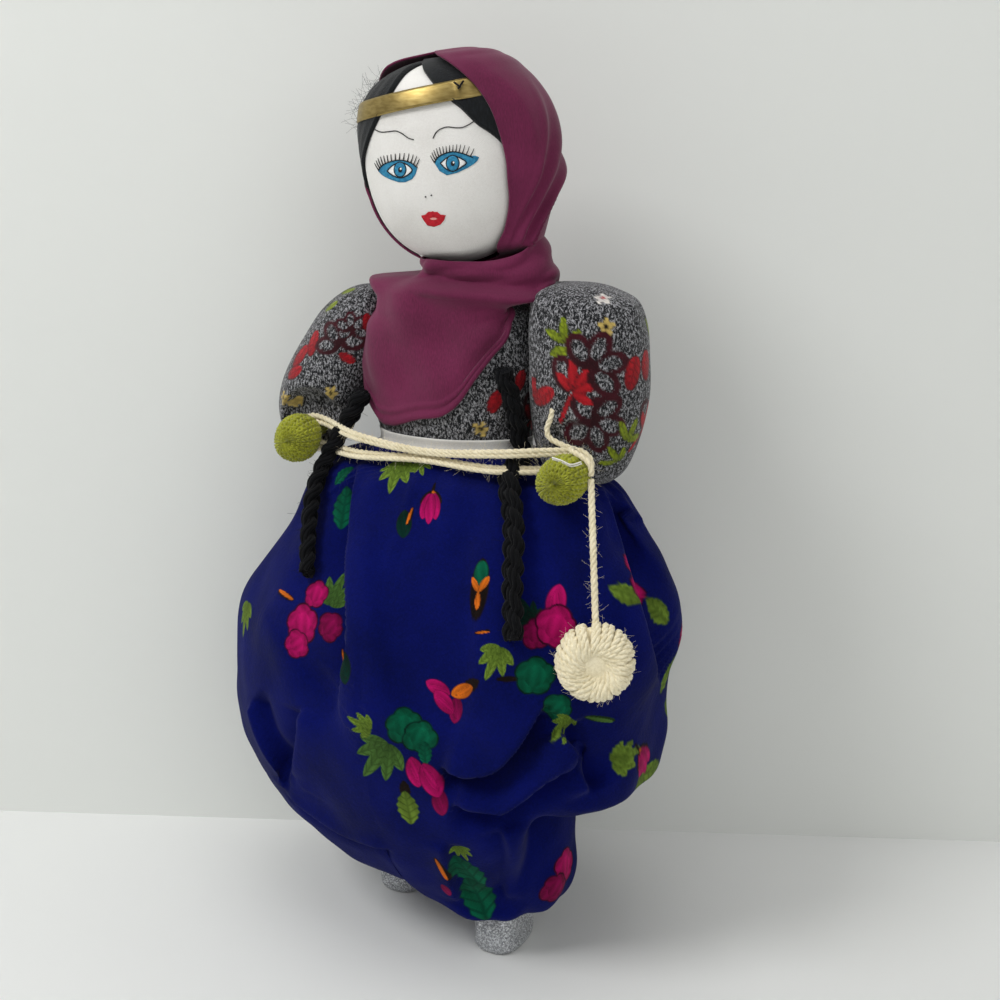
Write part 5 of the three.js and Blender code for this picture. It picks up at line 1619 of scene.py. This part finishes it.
def hank_route():
    lead = hank_point(0, 0)
    route = [lead + np.array([x, -1.0, z]) for x, z in
             ((-9.5, TAIL), (-10.5, TAIL * 0.75), (-12, TAIL * 0.5), (-11, TAIL * 0.25), (-5, 1.4))]
    route += [hank_point(i / 24, (i / 24) % 1) for i in range(LOOPS * 24 + 1)]
    hand = HANDS[1]
    route.append(hank_point(LOOPS, 0) + np.array([1.5, -1.5, 1]))
    route.append(hand + np.array([2.5, 3, 11.6]))
    route.append(hand + np.array([9.5, 1.5, 9.0]))
    route += [PIVOT + np.array([0, 0, 4.77]), PIVOT + np.array([0, 0, 1.65])]
    return np.array(route) * MM


hank_line, hank_long = smooth_line(hank_route(), 0.0009)
hank_plies, hank_radii = plied(hank_line, YARN)
hank = tubes("hank_yarn", hank_plies, hank_radii)
dress(hank, "left_arm", "cream_yarn", CREAM_YARN, "yarn_hank")
print("hank", round(hank_long, 3), "m")

# %% Ball and strand
BALL_WRAPS, BALL_HALF, BALL_DEEP, CORE_HALF, CORE_DEEP = 34, 16.4, 8.4, 14.2, 5.4
BALL_SIGHT = (594, 656)
ball_rest, ball_normal, _ = cast(tree_of(*trousers), *BALL_SIGHT)
BALL_OUT = np.array(ball_normal)
BALL = np.array(ball_rest) + BALL_OUT * (BALL_DEEP + 0.6) * MM
BALL_UP = np.array([0, 0, 1.0]) - BALL_OUT * BALL_OUT[2]
BALL_UP /= np.linalg.norm(BALL_UP)
BALL_ASIDE = np.cross(BALL_UP, BALL_OUT)


def on_ball(flat):
    flat = flat * MM
    return BALL + flat[:, :1] * BALL_ASIDE + flat[:, 1:2] * BALL_UP + flat[:, 2:] * BALL_OUT


def ball_line():
    pick = np.random.default_rng(11)
    drift = pick.normal(size=BALL_WRAPS + 1) * 0.05
    depth = pick.random(BALL_WRAPS + 1) * 0.7
    points = []
    for i in range(BALL_WRAPS * 14):
        wrap = i / 14
        k = int(wrap)
        angle = 2 * math.pi * wrap
        turn = angle / BALL_WRAPS + mix(drift[k], drift[k + 1], wrap - k)
        inset = 1.4 + mix(depth[k], depth[k + 1], wrap - k) * (0.6 - 0.4 * math.cos(angle))
        half = (BALL_HALF - 1.2) / 2
        r = half + 1.2 + (half - inset) * math.cos(angle)
        lift = (BALL_DEEP - inset) * math.sin(angle) * (0.85 + 0.15 * math.cos(angle))
        points.append([r * math.cos(turn), r * math.sin(turn) - 2.0 * math.sin(angle) ** 2, lift])
    return on_ball(np.array(points))


def core_place(u, v):
    around, tip = 2 * math.pi * u, math.pi * v
    ring = CORE_HALF * np.sin(tip)
    return on_ball(np.stack([ring * np.sin(around), ring * np.cos(around), -CORE_DEEP * np.cos(tip)], 1))


wound, wound_long = smooth_line(ball_line(), 0.0011)
ball_plies, ball_radii = plied(wound, YARN * 1.25)
ball = tubes("ball_winding", ball_plies, ball_radii)
core = grid_piece("ball_core", 40, 20, core_place, BALL)
dress(ball, "yarn_drop", "cream_yarn", CREAM_YARN, "yarn_ball")
dress(core, "yarn_drop", "cream_yarn", CREAM_YARN, "yarn_ball_core", "yarn_ball_heart")
rim = BALL + BALL_UP * (BALL_HALF - 1) * MM
strand_line, strand_long = smooth_line([mix(PIVOT * MM, rim, t) for t in (0, 0.33, 0.66, 1)], 0.0009)
strand_plies, strand_radii = plied(strand_line, YARN * 1.15)
strand = tubes("strand_yarn", strand_plies, strand_radii)
dress(strand, "yarn_drop", "cream_yarn", CREAM_YARN, "yarn_strand")
print("ball at", BALL, "winding", round(wound_long, 2), "m, strand", round(strand_long, 3), "m")

# %% Threads and loose fibres
TIE = np.array([[66, -33.9, 238.9], [70, -33.9, 238.2], [75, -34.9, 237.2], [80, -35.9, 239.0]])
tie_line, _ = smooth_line(TIE * MM, 0.0008)
tie = tubes("thread_tie", [tie_line, tie_line + np.array([0, -0.0005, 0.0008])], [0.00035, 0.0003])
dress(tie, "left_arm", "white_thread", WHITE_THREAD, "hand_thread")
# Each stitch: its turn round the head in radians, its height, and its lift off the cloth.
STITCH_LEGS = [((0.53, 0.61), (25.4, 28.2), 3.4), ((0.5, 0.56), (28.2, 25.8), 3.5)]
stitch_lines = []
for turn, high, lift in STITCH_LEGS:
    leg = on_egg(np.linspace(*turn, 4), np.linspace(*high, 4), lift)
    stitch_lines.append(smooth_line(to_doll(leg), 0.0006)[0])
stitch = tubes("ribbon_stitch", stitch_lines, [0.0004, 0.0004])
dress(stitch, "head", "black_thread", BLACK_THREAD, "headband_stitch")
fluff_root = on_egg(np.radians(np.linspace(-92, -58, 8)), np.linspace(14, 37, 8), 2.0)
fluff_line, _ = smooth_line(to_doll(fluff_root), 0.001)
fluff = fuzz("hair_fluff", fluff_line, count=150, reach=0.006, half=0.000035, seed=9)
dress(fluff, "head", "hair_felt", HAIR_FELT)
hank_fuzz = fuzz("hank_fuzz", hank_line, count=900, reach=0.0042, half=0.000028, seed=3)
dress(hank_fuzz, "left_arm", "cream_yarn", CREAM_YARN)
drop_line = np.concatenate([wound, strand_line, strand_line, strand_line])
ball_fuzz = fuzz("ball_fuzz", drop_line, count=900, reach=0.0038, half=0.000028, seed=4)
dress(ball_fuzz, "yarn_drop", "cream_yarn", CREAM_YARN)

# %% [markdown]
# ## Braids
# Two braids of black yarn hang down the chest, under the hank and onto the trousers. A braid is
# three strands that take turns to cross the middle, and each strand is a small bundle of yarns.

# %% Braids
BRAID = 10.5 * MM
STRANDS, BUNDLE = 3, 6
PLAIT_PITCH, BUNDLE_PITCH = 0.026, 0.035
SWING, CROSSING, BUNDLE_HALF, BUNDLE_YARN = 3.1, 1.3, 1.9, 1.15
BRAID_SIGHTS = {
    "left": [(500, 368), (507, 395), (513, 425), (514, 455), (511, 482), (513, 530), (514, 585), (513, 640)],
    "right": [(375, 390), (335, 464), (323, 495), (317, 535), (315, 577)],
}


def braid_route(sights):
    tree = tree_of(bodice, tape, *trousers)
    route = []
    for x, y in sights:
        spot, normal, _ = cast(tree, x, y)
        route.append(spot + normal * (BRAID * 0.5))
    return np.array(route)


def braid_lines(line, long):
    a, b = side_ways(line)
    gone = np.linspace(0, long, len(line))
    thin = mix(1.0, 0.85, gone / long)
    lines, radii = [], []
    for k in range(STRANDS):
        phase = gone * 2 * math.pi / PLAIT_PITCH + 2 * math.pi * k / STRANDS
        swing = a * np.sin(phase)[:, None] * SWING + b * np.sin(2 * phase)[:, None] * CROSSING
        for j in range(BUNDLE):
            turn = 2 * math.pi * j / BUNDLE + gone * 2 * math.pi / BUNDLE_PITCH
            bundle = (a * np.cos(turn)[:, None] + b * np.sin(turn)[:, None]) * BUNDLE_HALF
            lines.append(line + swing * MM * thin[:, None] + bundle * MM * thin[:, None])
            radii.append(BUNDLE_YARN * MM * thin)
    return lines, radii


for name, sights in BRAID_SIGHTS.items():
    line, long = smooth_line(braid_route(sights), 0.0011)
    braid = tubes(f"braid_{name}_plait", *braid_lines(line, long))
    dress(braid, "torso", "braid_yarn", BRAID_YARN, f"braid_{name}")
    wisps = fuzz(f"braid_{name}_fuzz", line, count=400, reach=0.005, half=0.00005, seed=7)
    dress(wisps, "torso", "braid_yarn", BRAID_YARN)
    print("braid", name, round(long, 3), "m", line[0], line[-1])

# %% [markdown]
# ## Floor and light
# A plain pale floor meets a wall behind the doll, and neither hides it from behind. Large soft lamps
# light the doll at a plain level, so that each colour looks about as it is written.

# %% Floor, backdrop and lamps
WALL_TURN, WALL_GAP, STAGE_HALF, STAGE_TALL = math.radians(25.0), 0.088, 3.0, 2.5
WALL_ALONG = np.array([math.cos(WALL_TURN), math.sin(WALL_TURN), 0.0])
WALL_OUT = np.array([-math.sin(WALL_TURN), math.cos(WALL_TURN), 0.0])


def floor_place(u, v):
    across = ((u - 0.5) * 2 * STAGE_HALF)[:, None] * WALL_ALONG
    return across + (WALL_GAP - v * 2 * STAGE_HALF)[:, None] * WALL_OUT


def wall_place(u, v):
    across = ((u - 0.5) * 2 * STAGE_HALF)[:, None] * WALL_ALONG
    return across + WALL_GAP * WALL_OUT + (v * STAGE_TALL)[:, None] * np.array([0, 0, 1.0])


def paper(name, tint, shade):
    f = Finish(name, Roughness=0.95, Specular_IOR_Level=0.1)
    f.colour(f.mixed(shade, tint, f.noise(f.coords(), 3.0)))
    behind = f.node("ShaderNodeNewGeometry", {}, out="Backfacing")
    f.feed(f.shader.inputs["Alpha"], 1.0 - behind)
    return f.material


for name, place, tint, shade in (("floor", floor_place, ink(235, 236, 234), ink(229, 230, 228)),
                                 ("wall", wall_place, ink(237, 239, 235), ink(232, 234, 230))):
    surface = grid_piece(name, 8, 8, place, WALL_OUT - np.array([0, 0, 1.0]))
    surface.data.materials.append(paper(name + "_paper", tint, shade))

LAMP_AIM, WORLD_LIGHT = Vector((0, 0, 0.22)), 0.32


def lamp(name, spot, size, power):
    light = bpy.data.lights.new(name, "AREA")
    light.shape = "DISK"
    light.size = size
    light.energy = power
    holder = bpy.data.objects.new(name, light)
    bpy.context.scene.collection.objects.link(holder)
    holder.location = spot
    holder.rotation_mode = "QUATERNION"
    holder.rotation_quaternion = (LAMP_AIM - Vector(spot)).to_track_quat("-Z", "Y")


lamp("key", (-0.6, -1.1, 1.5), 0.7, 14.5)
lamp("fill", (1.3, -0.9, 0.9), 1.2, 4.0)
lamp("top", (0.1, -0.3, 1.7), 1.0, 4.5)
world = bpy.data.worlds.new("studio")
world.use_nodes = True
world.node_tree.nodes["Background"].inputs["Color"].default_value = (1, 1, 1, 1)
world.node_tree.nodes["Background"].inputs["Strength"].default_value = WORLD_LIGHT
bpy.context.scene.world = world
bpy.context.scene.view_settings.view_transform = "Standard"
print("stage ready")

# %% Update the scene
bpy.context.view_layer.update()
